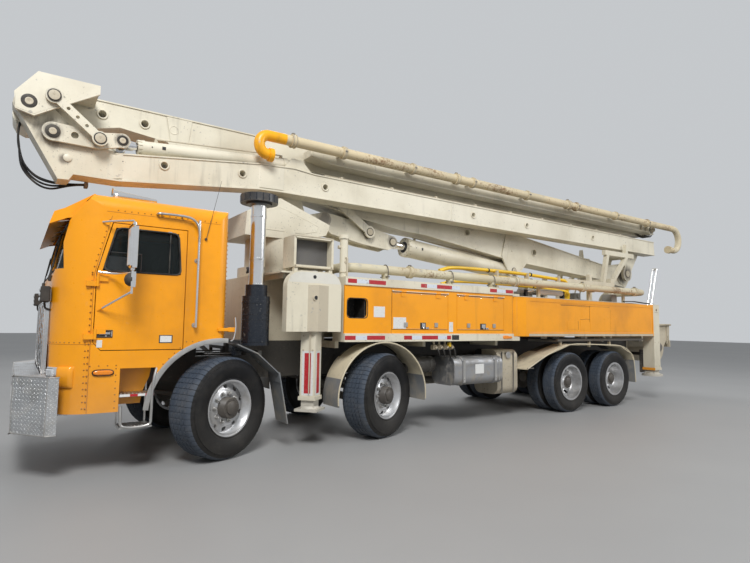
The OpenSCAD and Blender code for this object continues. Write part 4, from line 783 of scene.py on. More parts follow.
def add_piece(
    name: str, mesh: bpy.types.Mesh, finish: bpy.types.Material, body: str, sharp: float = 38
) -> bpy.types.Object:
    """Makes a mesh into a piece that rides on a body, and logs it.

    Args:
        name: the piece's name.
        mesh: its mesh.
        finish: its material.
        body: the CAD body that it rides on.
        sharp: the angle, in degrees, from which its edges aren't shaded smooth.

    Returns:
        The object.
    """
    mesh.materials.append(finish)
    mesh.shade_smooth()
    mesh.set_sharp_from_angle(angle=math.radians(sharp))
    piece = link(name, mesh)
    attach(piece, body)
    log.info("%s: %d faces on %s", name, len(mesh.polygons), body)
    return piece


# Finishes

AMBER = Paint(rgb(0.87, 0.335, 0.003), 0.30, 0.09, 0.16, 0.16, 0.06, 0.25, 0.12)
CREAM = Paint(rgb(0.66, 0.61, 0.48), 0.42, 0.2, 0.3, 0.55, 0.5, 0.3)
BOOM_CREAM = Paint(rgb(0.68, 0.635, 0.51), 0.42, 0.2, 0.35, 0.6, 0.75, 0.0)
DIRTY_CREAM = Paint(rgb(0.50, 0.44, 0.33), 0.55, 0.5, 0.5, 0.9, 0.9, 0.5)
BLACK = Paint(rgb(0.022, 0.021, 0.020), 0.5, 0.35, 0.2, 0.5, 0.15, 0.55)
ENGINE = Paint(rgb(0.09, 0.09, 0.085), 0.6, 0.4, 0.5, 0.7, 0.2, 0.4)
STACK_BLUE = Paint(rgb(0.006, 0.010, 0.018), 0.25, 0.12, 0.1, 0.25, 0.3, 0.0, 0.15)
PUMP_GREY = Paint(rgb(0.25, 0.24, 0.22), 0.5, 0.4, 0.4, 0.6, 0.5, 0.2)
FOOT_STEEL = Paint(rgb(0.52, 0.49, 0.42), 0.4, 0.3, 0.4, 0.9, 0.3, 0.3)
CHROME = BareMetal(rgb(0.80, 0.80, 0.80), 0.16, 0.12, 0.06)
STEEL = BareMetal(rgb(0.55, 0.54, 0.52), 0.3, 0.35, 0.2)
WORN = BareMetal(rgb(0.24, 0.22, 0.20), 0.5, 0.6, 0.5)
ALUMINIUM = BareMetal(rgb(0.60, 0.61, 0.63), 0.24, 0.45, 0.25, (1, 1, 1), 0.2)
ROD_CHROME = BareMetal(rgb(0.82, 0.82, 0.83), 0.14, 0.05, 0.02)
RUBBER = Moulded(rgb(0.008, 0.008, 0.009), 0.5, 0.05, 70.0, 0.0004, 0.05)
TREAD_RUBBER = Moulded(rgb(0.048, 0.062, 0.085), 0.7, 0.12, 70.0, 0.0008, 0.06)
HOSE_BLACK = Moulded(rgb(0.016, 0.016, 0.017), 0.5, 0.25, 90.0, 0.0002)
TRIM = Moulded(rgb(0.05, 0.045, 0.04), 0.7, 0.15)
SEAT_CLOTH = Moulded(rgb(0.10, 0.09, 0.085), 0.9, 0.1, 180.0, 0.0008)
FENDER = Moulded(rgb(0.60, 0.53, 0.38), 0.5, 0.5, 30.0, 0.0004, 0.45)
MUDFLAP = Moulded(rgb(0.16, 0.17, 0.18), 0.6, 0.7, 14.0, 0.0015, 0.3)
LAMP_AMBER = Plain(rgb(0.85, 0.25, 0.01), 0.18, 0.0, 0.008, 0.4)
LAMP_RED = Plain(rgb(0.45, 0.012, 0.01), 0.18, 0.0, 0.008, 0.4)
LAMP_CLEAR = Plain(rgb(0.72, 0.74, 0.76), 0.1, 0.5, 0.012, 0.6)
BLANK_PLATE = Plain(rgb(0.66, 0.66, 0.64), 0.4)
WARNING_RED = Plain(rgb(0.44, 0.012, 0.02), 0.35)
# Near-black that stands for shade: painted shade inside the lockers and in holes, gaps and recesses.
PAINTED_SHADE = Plain(rgb(0.012, 0.012, 0.012), 0.6)
OILY = Moulded(rgb(0.075, 0.055, 0.038), 0.4, 0.1)


class Coat(Enum):
    """The finishes that small parts share, each paired with a slot's name."""

    AMBER_TRIM = (AMBER, "amber_paint")
    # Darker amber for the cab's rivet heads: painted shade that stands for the small shadows round each
    # head.
    RIVET_DIRT = (Paint(rgb(0.36, 0.13, 0.006), 0.4, 0.3), "amber_paint")
    SEAM_SHADOW = (Paint(rgb(0.42, 0.15, 0.006), 0.5, 0.4), "amber_paint")
    TUBE_YELLOW = (Paint(rgb(0.83, 0.52, 0.01), 0.35, 0.2, 0.2, 0.3, 0.2, 0.0), "amber_paint")
    TAPE_RED = (Tape(TapeColour.RED), "amber_paint")
    TAPE_WHITE = (Tape(TapeColour.WHITE), "amber_paint")
    LENS_AMBER = (LAMP_AMBER, "amber_paint")
    LENS_RED = (LAMP_RED, "amber_paint")
    LENS_CLEAR = (LAMP_CLEAR, "chrome_trim")
    BOOM_SHEET = (BOOM_CREAM, "cream_paint")
    BUSH = (Paint(rgb(0.70, 0.65, 0.52), 0.45, 0.2, 0.5, 0.5, 0.3, 0.0), "cream_paint")
    DIRTY = (DIRTY_CREAM, "cream_paint")
    CYLINDER = (Paint(rgb(0.66, 0.67, 0.68), 0.4, 0.3, 0.4, 0.5, 0.4, 0.0), "cream_paint")
    SIGN = (Paint(rgb(0.64, 0.62, 0.55), 0.4, 0.3, 0.4, 0.4, 0.2, 0.0), "cream_paint")
    FOOT = (FOOT_STEEL, "cream_paint")
    PLATE = (BLANK_PLATE, "cab_trim")
    WARNING = (WARNING_RED, "cab_trim")
    # Near-black for holes, gaps and recesses: painted shade.
    OPENING = (PAINTED_SHADE, "cab_trim")
    DARK_TRIM = (TRIM, "cab_trim")
    HOSE = (HOSE_BLACK, "cab_trim")
    SCAR = (Plain(rgb(0.12, 0.06, 0.02), 0.6), "cab_trim")
    BRIGHT = (CHROME, "chrome_trim")
    MIRROR = (BareMetal(rgb(0.85, 0.87, 0.88), 0.06, 0.02, 0.03), "chrome_trim")
    RAIL = (STEEL, "bright_steel")
    SMALL_ROD = (ROD_CHROME, "rod_chrome")
    GREASE = (Moulded(rgb(0.03, 0.026, 0.022), 0.4, 0.2), "worn_steel")
    HUB = (Paint(rgb(0.045, 0.038, 0.034), 0.42, 0.3, 0.0, 0.4, 0.0, 0.1), "worn_steel")
    COUPLING = (Bumpy(rgb(0.42, 0.36, 0.26), 0.4), "worn_steel")
    WORN_TRIM = (WORN, "worn_steel")
    CHASSIS = (BLACK, "chassis_black")
    STACK = (STACK_BLUE, "stack_blue")
    PUMP = (PUMP_GREY, "pump_grey")
    FENDER_EDGE = (FENDER, "fender_plastic")
    FLAP_RIB = (MUDFLAP, "fender_plastic")


@cache
def coat_material(coat: Coat) -> bpy.types.Material:
    """The material of a coat, made once."""
    return surface(coat.name.lower(), coat.value[0])


SIDES = ((1, "left"), (-1, "right"))
AXLE_X = (110.0, -2010.0, -6060.0, -7403.0)
STEER_R, DRIVE_R, KINGPIN_Y, KINGPIN_OFFSET, DRIVE_Y = 545.0, 512.0, 930.0, 115.0, 1068.0
STEER_TURN = (math.radians(23), math.radians(19))


def steered_hub(axle: int, side: int) -> tuple:
    """The middle of a steered wheel, in millimetres."""
    turn = STEER_TURN[axle]
    return (
        AXLE_X[axle] - side * KINGPIN_OFFSET * math.sin(turn),
        side * KINGPIN_Y + side * KINGPIN_OFFSET * math.cos(turn), STEER_R
    )


class FramePaint:
    """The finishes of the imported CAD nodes."""

    def zones(self) -> dict:
        """Each node's finish and the zones in which it changes."""
        inside = [
            Zone(TRIM, (126, -1176, 1256), (1400, 1176, 2600)),
            Zone(TRIM, (1399, -1176, 1256), (1440, 1176, 2560)),
            Zone(TRIM, (1439, -1150, 1256), (1500, 1150, 2460)),
            Zone(TRIM, (1499, -1110, 1256), (1550, 1110, 2300)),
            Zone(TRIM, (1549, -1060, 1256), (1600, 1060, 2000)),
            Zone(TRIM, (1599, -980, 1256), (1650, 980, 1840))
        ]
        wall = Zone(AMBER, (None, 1212, 1351), (None, 1236, 1956), True)
        mirror = Zone(CHROME, (None, 1262, None), (None, None, None), True)
        latch = [
            Zone(STEEL, (x + 199, 1236, 1400), (x + 261, None, 1510)) for x in (-3120, -4290)
        ] + [Zone(STEEL, (x - 261, 1236, 1400), (x - 199, None, 1510)) for x in (-2120, -3290)]
        table = {
            "chassis_frame": (BLACK, []), "engine": (ENGINE, []), "axles": (BLACK, []),
            "bumper": (TreadPlate(), []), "cab_shell": (AMBER, inside),
            "cab_interior": (TRIM, [Zone(SEAT_CLOTH, (300, -985, 1600), (1015, 985, 2345))]),
            "grille": (CHROME, []),
            "cab_fittings": (STEEL, [
                Zone(AMBER, (1230, None, 2300), (None, None, None)),
                Zone(CHROME, (None, 1222, 1400), (450, None, 2540), True),
                Zone(CHROME, (780, 840, 2691), (1200, 960, None)),
                Zone(LAMP_AMBER, (790, 600, 2691), (1030, 780, None))
            ]),
            "air_stack": (STACK_BLUE, [
                Zone(CHROME, (None, None, 1901), (None, None, 2834)),
                Zone(Moulded(rgb(0.018, 0.018, 0.02), 0.42, 0.25), (None, None, 2834), (None, None, None))
            ]),
            "cooler": (CREAM, [Zone(FineMesh(), (-1286, 895, None), (-784, 955, None))]),
            # Near-black inside the lockers, behind the walls and the doors: painted shade.
            "deck_lockers": (CREAM, [wall, Zone(PAINTED_SHADE, (-4474, 716, 1272), (-1417, 1208, 2058))]),
            "delivery_line": (Bumpy(rgb(0.55, 0.50, 0.36), 0.45), []), "pump_cells": (PUMP_GREY, []),
            "hopper": (DIRTY_CREAM, []), "boom_rest": (CREAM, []),
            "fenders": (FENDER, [
                Zone(MUDFLAP, (-700, None, None), (-40, None, 1240)),
                Zone(MUDFLAP, (-2760, None, None), (-1270, None, 790)),
                Zone(BLACK, (None, None, 1045), (-380, 905, None), True),
                Zone(MUDFLAP, (None, None, 400), (-7975, 1241, 852), True),
                Zone(BLACK, (None, None, 540), (-8845, None, 1030)),
                Zone(PUMP_GREY, (-8585, None, 1196), (-5775, None, 1262))
            ]),
            "tool_boxes": (
                BareMetal(rgb(0.34, 0.35, 0.37), 0.42, 0.6, 0.5, (1, 1, 1), 0.3),
                [
                    Zone(DIRTY_CREAM, (None, None, None), (-4300, None, None)),
                    Zone(BLACK, (None, None, 815), (None, 722, None), True)
                ]
            ),
            "outrigger_housing": (CREAM, []), "locker_door_1": (AMBER, latch),
            "locker_door_2": (AMBER, latch), "hopper_grate": (WORN, []), "agitator": (WORN, []),
            "turret": (BOOM_CREAM, stains((-1690, 3000, 210), (-1050, 3420, 200), (-1500, 2160, 240))),
            "boom_1": (
                BOOM_CREAM,
                stains((-9580, 2710, 330), (-1050, 3420, 230), (-5810, 2520, 200), (-1830, 3310, 190))
            ),
            "boom_2": (
                BOOM_CREAM,
                stains((1980, 3670, 190), (1760, 3420, 240), (-9580, 2710, 260), (1640, 3160, 90))
            ),
            "boom_3": (BOOM_CREAM, stains((1980, 3670, 150), (1770, 3770, 130), (-10390, 3800, 260))),
            "fold_lever": (BOOM_CREAM, stains((1760, 3420, 130), (1330, 3410, 110), (1100, 3460, 110))),
            "fold_link": (BOOM_CREAM, stains((1770, 3770, 100), (1330, 3410, 90))),
            "lift_lever": (BOOM_CREAM, stains((-1690, 3000, 150), (-2470, 2890, 170), (-2960, 2790, 160))),
            "boom_4": (BOOM_CREAM, [
                Zone(Bumpy(rgb(0.60, 0.50, 0.32), 0.62), (None, 500, None), (None, None, None)),
                Zone(
                    Paint(rgb(0.86, 0.40, 0.005), 0.35, 0.1, 0.3, 0.9, 0.6, 0.0), (-830, 500, None),
                    (None, None, None)
                ),
                Zone(Bumpy(rgb(0.60, 0.53, 0.38), 0.15), (None, 500, None), (-11010, None, None))
            ]),
            "lift_rod": (ROD_CHROME, []), "fold_rod": (ROD_CHROME, [])
        }
        for sign, side in SIDES:
            table["door_" + side] = (AMBER, [mirror])
            table["front_arm_" + side] = (CREAM, [])
            table["rear_arm_" + side] = (AMBER, [Zone(CREAM, (None, None, None), (-8745, None, None))])
            for n in (1, 2):
                table[f"knuckle_{n}_{side}"] = (BLACK, [])
                hub, turn = steered_hub(n - 1, sign), STEER_TURN[n - 1]
                table[f"wheel_{n}_{side}"] = (RUBBER, [
                    RoundZone(ALUMINIUM, hub, turn, 304.5), RoundZone(WORN, hub, turn, 112.5)
                ])
            for n in (3, 4):
                hub = (AXLE_X[n - 1], 0.0, DRIVE_R)
                table[f"twin_{n}_{side}"] = (RUBBER, [
                    RoundZone(ALUMINIUM, hub, 0.0, 304.5), RoundZone(ALUMINIUM, hub, 0.0, 112.5)
                ])
            for name in ("front_foot_", "rear_foot_"):
                table[name + side] = (FOOT_STEEL, [])
        return table

    def dress(self) -> None:
        """Gives each CAD node its material."""
        table = self.zones()
        window = glass("window_glass_clear", rgb(0.012, 0.016, 0.016), 0.45)
        for name, node in NODES.items():
            if "glass" in name:
                finish = window
            else:
                kind, zones = table.get(name, (BOOM_CREAM, []))
                finish = surface("finish_" + name, kind, zones)
            for slot in node.material_slots:
                slot.material = finish
            log.info("%s: %s", name, finish.name)


@dataclass
class TyreForm:
    """A tyre's sizes in millimetres and its tread."""

    radius: float
    width: float
    grooves: tuple
    blocks: int
    groove_deep: float = 13.0
    groove_half: float = 6.0
    zigzag: float = 6.5
    sipe_deep: float = 8.0
    bead: float = 290.0

    def profile(self) -> list:
        """Points as (radius, distance, zigzag share, tread share), from one bead to the other."""
        half, r = self.width / 2, self.radius
        crown = half * 0.62
        side = [
            (self.bead, half * 0.78, 0, 0), (self.bead + 22, half * 0.86, 0, 0),
            (self.bead + 30, half * 0.845, 0, 0), (self.bead + 60, half * 0.93, 0, 0),
            ((r + self.bead) / 2 + 8, half * 0.99, 0, 0), ((r + self.bead) / 2 + 30, half * 0.985, 0, 0),
            (r - 62, half * 0.95, 0, 0), (r - 58, half * 0.90, 0, 0), (r - 24, half * 0.83, 0, 0.8),
            (r - 4, half * 0.67, 0, 1), (r, crown - 6, 0, 1)
        ]
        points = [(p, -y, z, t) for p, y, z, t in side]
        for y in self.grooves:
            g = self.groove_half
            points += [
                (r, y - g - 1.5, 1, 1), (r - self.groove_deep, y - g * 0.5, 1, 0),
                (r - self.groove_deep, y + g * 0.5, 1, 0), (r, y + g + 1.5, 1, 1)
            ]
        return points + [(p, y, z, t) for p, y, z, t in reversed(side)]

    def mesh(self, offset: float, matrix: Matrix) -> Shape:
        """The tyre about its own Y axis.

        Args:
            offset: its middle along the axis.
            matrix: places it in the frame.

        Returns:
            The shape.
        """
        shape = Shape(matrix)
        profile = self.profile()
        rings = []
        share = (0.0, 0.10, 0.16, 0.58)
        for block in range(self.blocks):
            for k, part in enumerate(share):
                turn = 2 * math.pi * (block + part) / self.blocks
                swing = self.zigzag * (1 - abs(((block + part) * 2) % 2 - 1) * 2)
                cut = self.sipe_deep if k == 1 else 0.0
                ring = []
                for r, y, zig, tread in profile:
                    rad = r - cut * tread
                    ring.append((rad * math.cos(turn), offset + y + swing * zig, rad * math.sin(turn)))
                rings.append(ring)
        made = [[shape._put(p) for p in ring] for ring in rings]
        for i, one in enumerate(made):
            two = made[(i + 1) % len(made)]
            for j in range(len(one) - 1):
                shape.bm.faces.new((one[j], one[j + 1], two[j + 1], two[j]))
            shape.bm.faces.new((one[-1], one[0], two[0], two[-1]))
        return shape


@dataclass
class Wheel:
    """One wheel or twin wheel: its tyres, disc, nuts and hub, which stand for a CAD node."""

    name: str
    hub: tuple
    turn: float
    side: int
    tyre: TyreForm
    offsets: tuple
    face: float
    hub_end: float
    rim_radius: float = 306.0

    def matrix(self) -> Matrix:
        """Places the wheel, drawn as on the left about its Y axis."""
        flip = Matrix.Scale(self.side, 4, (0, 1, 0))
        turned = Matrix.Rotation(self.turn, 4, "Z")
        return Matrix.Translation(at(self.hub)) @ turned @ flip

    def disc(self) -> None:
        """The rim and disc, taken over from the CAD node without its tyres."""
        mesh = NODES[self.name].data.copy()
        bm = bmesh.new()
        bm.from_mesh(mesh)
        centre, way = at(self.hub), Matrix.Rotation(self.turn, 3, "Z") @ Vector((0, 1, 0))
        out = [v for v in bm.verts if ((v.co - centre).cross(way)).length > self.rim_radius / 1000]
        bmesh.ops.delete(bm, geom=out, context="VERTS")
        bmesh.ops.remove_doubles(bm, verts=bm.verts, dist=1e-5)
        bm.to_mesh(mesh)
        bm.free()
        mesh.materials.clear()
        oily = RoundZone(Coat.HUB.value[0], self.hub, self.turn, 112.6)
        finish = surface("rim_" + self.name, ALUMINIUM, [oily] if len(self.offsets) == 1 else ())
        piece = add_piece("rim_" + self.name, mesh, finish, self.name, 30)
        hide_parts(self.name)

    def nuts(self) -> None:
        """Wheel nuts round the hub, its cap and the valve."""
        shape = Shape(self.matrix())
        face, end = self.face, self.hub_end
        for x, z in around(10, 153):
            shape.rod((x, face, z), (x, face + 6, z), 25, 16)
            shape.rod((x, face + 5, z), (x, face + 28, z), 19, 6)
            shape.rod((x, face + 27, z), (x, face + 42, z), 11, 10)
        shape.done(self.name + "_nuts", Coat.RAIL, self.name)
        cap = Shape(self.matrix())
        cap.lathe([
            (104, end - 6), (108, end), (104, end + 6), (74, end + 8), (70, end + 20), (52, end + 30),
            (0.5, end + 33)
        ], (0, 0, 0), closed=False)
        for x, z in around(8, 90, math.radians(20)):
            cap.rod((x, end + 5, z), (x, end + 13, z), 7, 6)
        cap.rod((205, face - 30, 0), (222, face + 26, 0), 5, 8)
        cap.done(self.name + "_hub_cap", Coat.HUB, self.name)

    def build(self) -> None:
        """Makes the whole wheel."""
        for i, offset in enumerate(self.offsets):
            tread = TreadZone(TREAD_RUBBER, self.hub, self.turn, self.tyre.radius - 24)
            rubber = surface(f"rubber_{self.name}_{i}", RUBBER, [tread])
            self.tyre.mesh(offset, self.matrix()).done(
                f"{self.name}_tyre_{i}", rubber, self.name, "tyre_rubber"
            )
        self.disc()
        self.nuts()


class RunningGear:
    """All the wheels."""

    def build(self) -> None:
        """Makes each wheel."""
        steered = TyreForm(STEER_R, 412.0, (-84.0, -28.0, 28.0, 84.0), 56)
        driven = TyreForm(DRIVE_R, 279.0, (-52.0, -17.0, 17.0, 52.0), 50, zigzag=5.0, groove_half=5.0)
        for side, word in SIDES:
            for n in (0, 1):
                name = f"wheel_{n + 1}_{word}"
                Wheel(name, steered_hub(n, side), STEER_TURN[n], side, steered, (0.0,), 89.0, 180.0).build()
            for n in (2, 3):
                name = f"twin_{n + 1}_{word}"
                hub = (AXLE_X[n], side * DRIVE_Y, DRIVE_R)
                Wheel(name, hub, 0.0, side, driven, (0.0, -331.0), -137.5, 38.5).build()


def nose(turn: float, z: float, out: float = 0.0) -> tuple:
    """A point on the cab's rounded front corner.

    Args:
        turn: degrees round the corner, 0 at the front and 90 at the side.
        z: its height.
        out: how far it stands off the sheet.

    Returns:
        The point.
    """
    a = math.radians(turn)
    return (min(1320 + (380 + out) * math.cos(a), screen_x(z) + out), 840 + (380 + out) * math.sin(a), z)


def screen_x(z: float) -> float:
    """The cab's front at a height, where its sides are full."""
    steps = ((600, 1640), (900, 1680), (1850, 1700), (2430, 1590), (2690, 1400))
    for (z0, x0), (z1, x1) in zip(steps, steps[1:]):
        if z <= z1:
            return x0 + (x1 - x0) * (z - z0) / (z1 - z0)
    return 1400.0


def front(y: float, z: float, out: float = 0.0) -> tuple:
    """A point on the cab's front at a distance from the centreline."""
    over = max(abs(y) - 840, 0)
    return (screen_x(z) + out - 380 + math.sqrt(380**2 - over**2), y, z)


def rounded(points: Sequence[Point], radius: float, steps: int = 5) -> list:
    """A closed outline of flat points with each corner rounded."""
    made = []
    count = len(points)
    for i in range(count):
        before, here, after = (Vector(points[(i + k) % count]) for k in (-1, 0, 1))
        a = here + (before - here).normalized() * min(radius, (before - here).length / 2)
        b = here + (after - here).normalized() * min(radius, (after - here).length / 2)
        for k in range(steps + 1):
            t = k / steps
            made.append(tuple(a * (1 - t) ** 2 + here * (2 * t * (1 - t)) + b * t**2))
    return made


@dataclass
class CabTrim:
    """Seals, rivets, lamps, rails and small parts of the cab."""

    side_y: float = 1220.0
    rivet_pitch: float = 58.0
    rivet_r: float = 7.5
    seal: float = 9.0

    def seals(self) -> None:
        """Rubber seals round the windscreens, the door windows and the rear window."""
        shape = Shape()
        for s in (-1, 1):
            line = [
                front(s * y, z, 1)
                for y, z in rounded([(26, 1943), (1078, 1950), (1042, 2405), (26, 2430)], 70)
            ]
            dense = []
            for p, q in zip(line, line[1:] + line[:1]):
                parts = max(1, int((Vector(q) - Vector(p)).length / 60))
                dense += [
                    front(p[1] + (q[1] - p[1]) * k / parts, p[2] + (q[2] - p[2]) * k / parts, 1)
                    for k in range(parts)
                ]
            shape.hose(dense + dense[:1], self.seal, 6, 1)
        back = [(79, y, z) for y, z in rounded([(-380, 1985), (380, 1985), (380, 2405), (-380, 2405)], 40)]
        shape.hose(back + back[:1], self.seal, 6, 1)
        shape.done("screen_seals", Coat.HOSE)
        outline = rounded([(585, 1945), (1302, 1945), (1202, 2370), (620, 2370)], 60)
        for s, side in SIDES:
            door = Shape()
            ring = [(x, s * (self.side_y + 1), z) for x, z in outline]
            door.hose(ring + ring[:1], self.seal, 6, 1)
            door.rod((700, s * 1210, 2360), (700, s * 1210, 1950), 7, 8)
            door.done(f"door_{side}_seal", Coat.HOSE, "door_" + side)

    def rivets(self) -> None:
        """Rows of rivets along the door pillar, the nose seam, the roof seam and the rear corner."""
        shape = Shape()

        def row(a: Point, b: Point, way: Point) -> None:
            """A row from a to b."""
            a, b = Vector(a), Vector(b)
            count = int((b - a).length / self.rivet_pitch)
            for i in range(count + 1):
                shape.rivet(a.lerp(b, i / count), way, self.rivet_r)

        y = self.side_y
        for line in (
            ((1392, y, 650), (1392, y, 1900)), ((1392, y, 1920), (1268, y, 2440)),
            ((1415, y - 11, 650), (1415, y - 11, 1240)), ((240, y, 2540), (1200, y, 2540)),
            ((180, y, 1262), (500, y, 1262)), ((560, y, 1200), (720, y, 1040)),
            ((1145, y, 640), (1145, y, 1010)), ((1145, y, 1040), (1370, y, 1040))
        ):
            row(*line, (0, 1, 0))
        for turn in range(12, 84, 7):
            a = math.radians(turn)
            shape.rivet(nose(turn, 1258), (math.cos(a), math.sin(a), 0), self.rivet_r)
        for z in range(1300, 2500, 48):
            shape.rivet((86, 1155, z), (-0.6, 0.8, 0), self.rivet_r)
        # The rivets take the darker amber coat: painted shade round their heads.
        shape.twin().done("cab_rivets", Coat.RIVET_DIRT)
        seams = Shape()
        seams.box((1376, 1380), (y - 1, y + 1.6), (606, 1900), 0.5)
        seams.sheet([
            (1376, y - 1, 1900), (1380, y - 1, 1900), (1252, y - 1, 2480), (1248, y - 1, 2480)
        ], (0, 2.6, 0))
        seams.loops([
            [nose(t, 1239, -1), nose(t, 1239, 1.6), nose(t, 1243, 1.6), nose(t, 1243, -1)]
            for t in range(2, 91, 4)
        ])
        seams.box((190, 1300), (y - 1, y + 1.4), (2519, 2523), 0.5)
        seams.twin().done("cab_seams", Coat.SEAM_SHADOW)

    def arc_panel(
        self, shape: Shape, turns: Point, z: Point, out: float, bevel: float, step: int = 4
    ) -> None:
        """A raised panel wrapped round the nose, its edges rounded off."""
        span = turns[1] - turns[0]
        rings = []
        for i in range(step * 2 + 1):
            t = turns[0] + span * i / (step * 2)
            edge = min(1.0, min(i, step * 2 - i) / 1.4)
            o = max(out * edge, 1.0)
            rings.append([
                nose(t, z[0], -3), nose(t, z[0], o * 0.5), nose(t, z[0] + bevel, o),
                nose(t, z[1] - bevel, o), nose(t, z[1], o * 0.5), nose(t, z[1], -3)
            ])
        shape.loops(rings)

    def lamps(self) -> None:
        """Headlamps in their bulges, marker lamps, the work lamp and its bracket."""
        bulge, rim, lens = shapes(3)
        self.arc_panel(bulge, (38, 63), (845, 1035), 34, 22, 6)
        self.arc_panel(rim, (10, 39), (852, 1028), 16, 10, 6)
        self.arc_panel(lens, (13, 36), (866, 1014), 24, 14, 6)
        bulge.twin().done("headlamp_bulges", Coat.AMBER_TRIM)
        rim.twin().done("headlamp_rims", Coat.BRIGHT)
        lens.twin().done("headlamp_lenses", Coat.LENS_CLEAR)
        y = self.side_y
        x0, z0 = 1257, 976
        oval = [(x0 + 94 * math.copysign(abs(u) ** 0.45, u), z0 + 31 * v) for u, v in around(40)]
        seat, marker = shapes(2)
        seat.prism(oval, "Y", y - 2, y + 12)
        small = [(x0 + (x - x0) * 0.90, z0 + (z - z0) * 0.72) for x, z in oval]
        top = [(x0 + (x - x0) * 0.9, z0 + (z - z0) * 0.6) for x, z in small]
        stations = ((small, y + 8), (small, y + 18), (top, y + 25))
        marker.loops([[(x, height, z) for x, z in ring] for ring, height in stations])
        seat.twin().done("marker_seats", Coat.HOSE)
        foot = ((1240, -45), (1300, -32), (1300, 32), (1240, 45))
        crown = ((1248, -30), (1282, -20), (1282, 20), (1248, 30))
        for middle in (-560, -280, 0, 280, 560):
            marker.loops([
                [(x, middle + dy, z) for x, dy in ring] for ring, z in ((foot, 2692), (crown, 2724))
            ])
        marker.twin().done("marker_lamps", Coat.LENS_AMBER)
        work = Shape()
        work.box((1706, 1790), (815, 985), (1635, 1785), 10)
        work.hose([(1690, 900, 1560), (1740, 900, 1580), (1750, 900, 1640)], 9, 8, 4)
        work.twin().done("work_lamps", Coat.DARK_TRIM)
        grid = Shape()
        for row in range(3):
            for col in range(4):
                grid.rod(
                    (1788, 838 + col * 42, 1662 + row * 48), (1796, 838 + col * 42, 1662 + row * 48), 17, 12,
                    14
                )
        grid.twin().done("work_lamp_lenses", Coat.LENS_CLEAR)

    def doors(self) -> None:
        """Door latches, mirror bowls and glasses, belt rails and blank plates."""
        for s, side in SIDES:
            body, y = "door_" + side, s * self.side_y

            def slab(shape: Shape, x: Point, z: Point, low: float, high: float, cut: float = 3.0) -> Shape:
                """A flat block standing on the door."""
                return shape.box(x, (y + s * low, y + s * high), z, cut)

            dark, bright, plates = shapes(3)
            slab(dark, (1192, 1330), (1305, 1378), -2, 7)
            slab(bright, (1215, 1308), (1332, 1362), 4, 16, 5)
            slab(bright, (1196, 1206), (1315, 1368), 4, 12, 2)
            bright.rod((1250, y, 1322), (1250, y + s * 12, 1322), 9, 12)
            slab(plates, (1278, 1326), (1212, 1282), -1, 2, 1)
            slab(dark, (640, 770), (1250, 1330), -1, 3, 1.2)
            slab(plates, (650, 760), (1258, 1322), 1, 4, 1)
            mirror_y = s * 1490
            bright.hose([(1345, s * 1250, 1925), (1200, s * 1300, 1915), (1105, mirror_y, 1915)], 12, 10, 4)
            bright.hose([(1330, s * 1228, 2410), (1230, s * 1330, 2416), (1100, mirror_y, 2410)], 9, 8, 4)
            for z in (1940, 2370):
                bright.rod((1090, mirror_y, z), (1090, mirror_y, z + 24), 20, 12)
            bright.box((1073, 1128), (mirror_y - 84, mirror_y + 84), (1962, 2350), 15)
            for k in range(5):
                bright.rod((1128, mirror_y - 52 + k * 26, 1985), (1128, mirror_y - 52 + k * 26, 2328), 6, 8)
            dark.lathe(
                [(62, 0), (64, 8), (58, 28), (40, 48), (14, 58), (0.5, 60)], (1100, s * 1490, 1852), "X", 24,
                closed=False
            )
            glass_face = Shape()
            glass_face.box((1066, 1071), (mirror_y - 78, mirror_y + 78), (1975, 2335), 2)
            glass_face.box((1066, 1071), (mirror_y - 50, mirror_y + 50), (1795, 1912), 2)
            glass_face.done(f"mirror_glass_{side}", Coat.MIRROR, body)
            for x in (690, 1010):
                slab(bright, (x, x + 40), (2372, 2384), 0, 14, 3)
            dark.done(f"door_{side}_dark_parts", Coat.DARK_TRIM, body)
            bright.done(f"door_{side}_bright_parts", Coat.BRIGHT, body)
            plates.done(f"door_{side}_blank_plates", Coat.PLATE, body)

    def rails(self) -> None:
        """Grab rails, the looped steps, arch trims, latch boxes, wipers and the aerial."""
        bright = Shape()
        bright.hose([
            (841, 1216, 2545), (835, 1255, 2552), (780, 1262, 2555), (560, 1266, 2552), (470, 1272, 2510),
            (432, 1280, 2420), (430, 1280, 2300)
        ], 13, 12, 5)
        for z in (1432, 2105):
            bright.rod((430, 1216, z), (430, 1284, z), 10, 10)
            bright.rod((430, 1214, z), (430, 1226, z), 26, 14)
        for x in (800, 600):
            bright.rod((x, 1205, 2548), (x, 1262, 2553), 9, 10)
        bright.hose([
            (775, 1205, 1005), (800, 1225, 900), (812, 1228, 740), (812, 1228, 560), (818, 1228, 470),
            (870, 1226, 446), (960, 1226, 441), (1030, 1226, 446), (1082, 1228, 472), (1090, 1228, 560),
            (1092, 1220, 650)
        ], 15, 10, 5)
        bright.twin().done("cab_rails", Coat.RAIL)
        trim = Shape()
        rings = []
        for i in range(29):
            a = math.radians(4 + 92 * i / 28)
            rings.append([
                (140 + r * math.cos(a), y, 545 + r * math.sin(a))
                for r, y in ((703, 1205), (703, 1236), (712, 1238), (752, 1228), (752, 1219), (712, 1221))
            ])
        trim.loops(rings)
        trim.twin().done("arch_trims", Coat.RAIL)
        tread = Shape()
        for z, x0, x1 in ((760, 795, 1100), (450, 805, 1090)):
            for k in range(9):
                tread.rod(
                    (x0 + 14 + k * (x1 - x0 - 28) / 8, 1005, z), (x0 + 14 + k * (x1 - x0 - 28) / 8, 1195, z),
                    7, 8
                )
        tread.twin().done("step_bars", Coat.RAIL)
        boxes = Shape()
        boxes.box((-20, 72), (1196, 1232), (1362, 1412), 5)
        boxes.box((70, 180), (1216, 1240), (1368, 1406), 5)
        boxes.twin().done("cab_latch_boxes", Coat.AMBER_TRIM)
        hook = Shape()
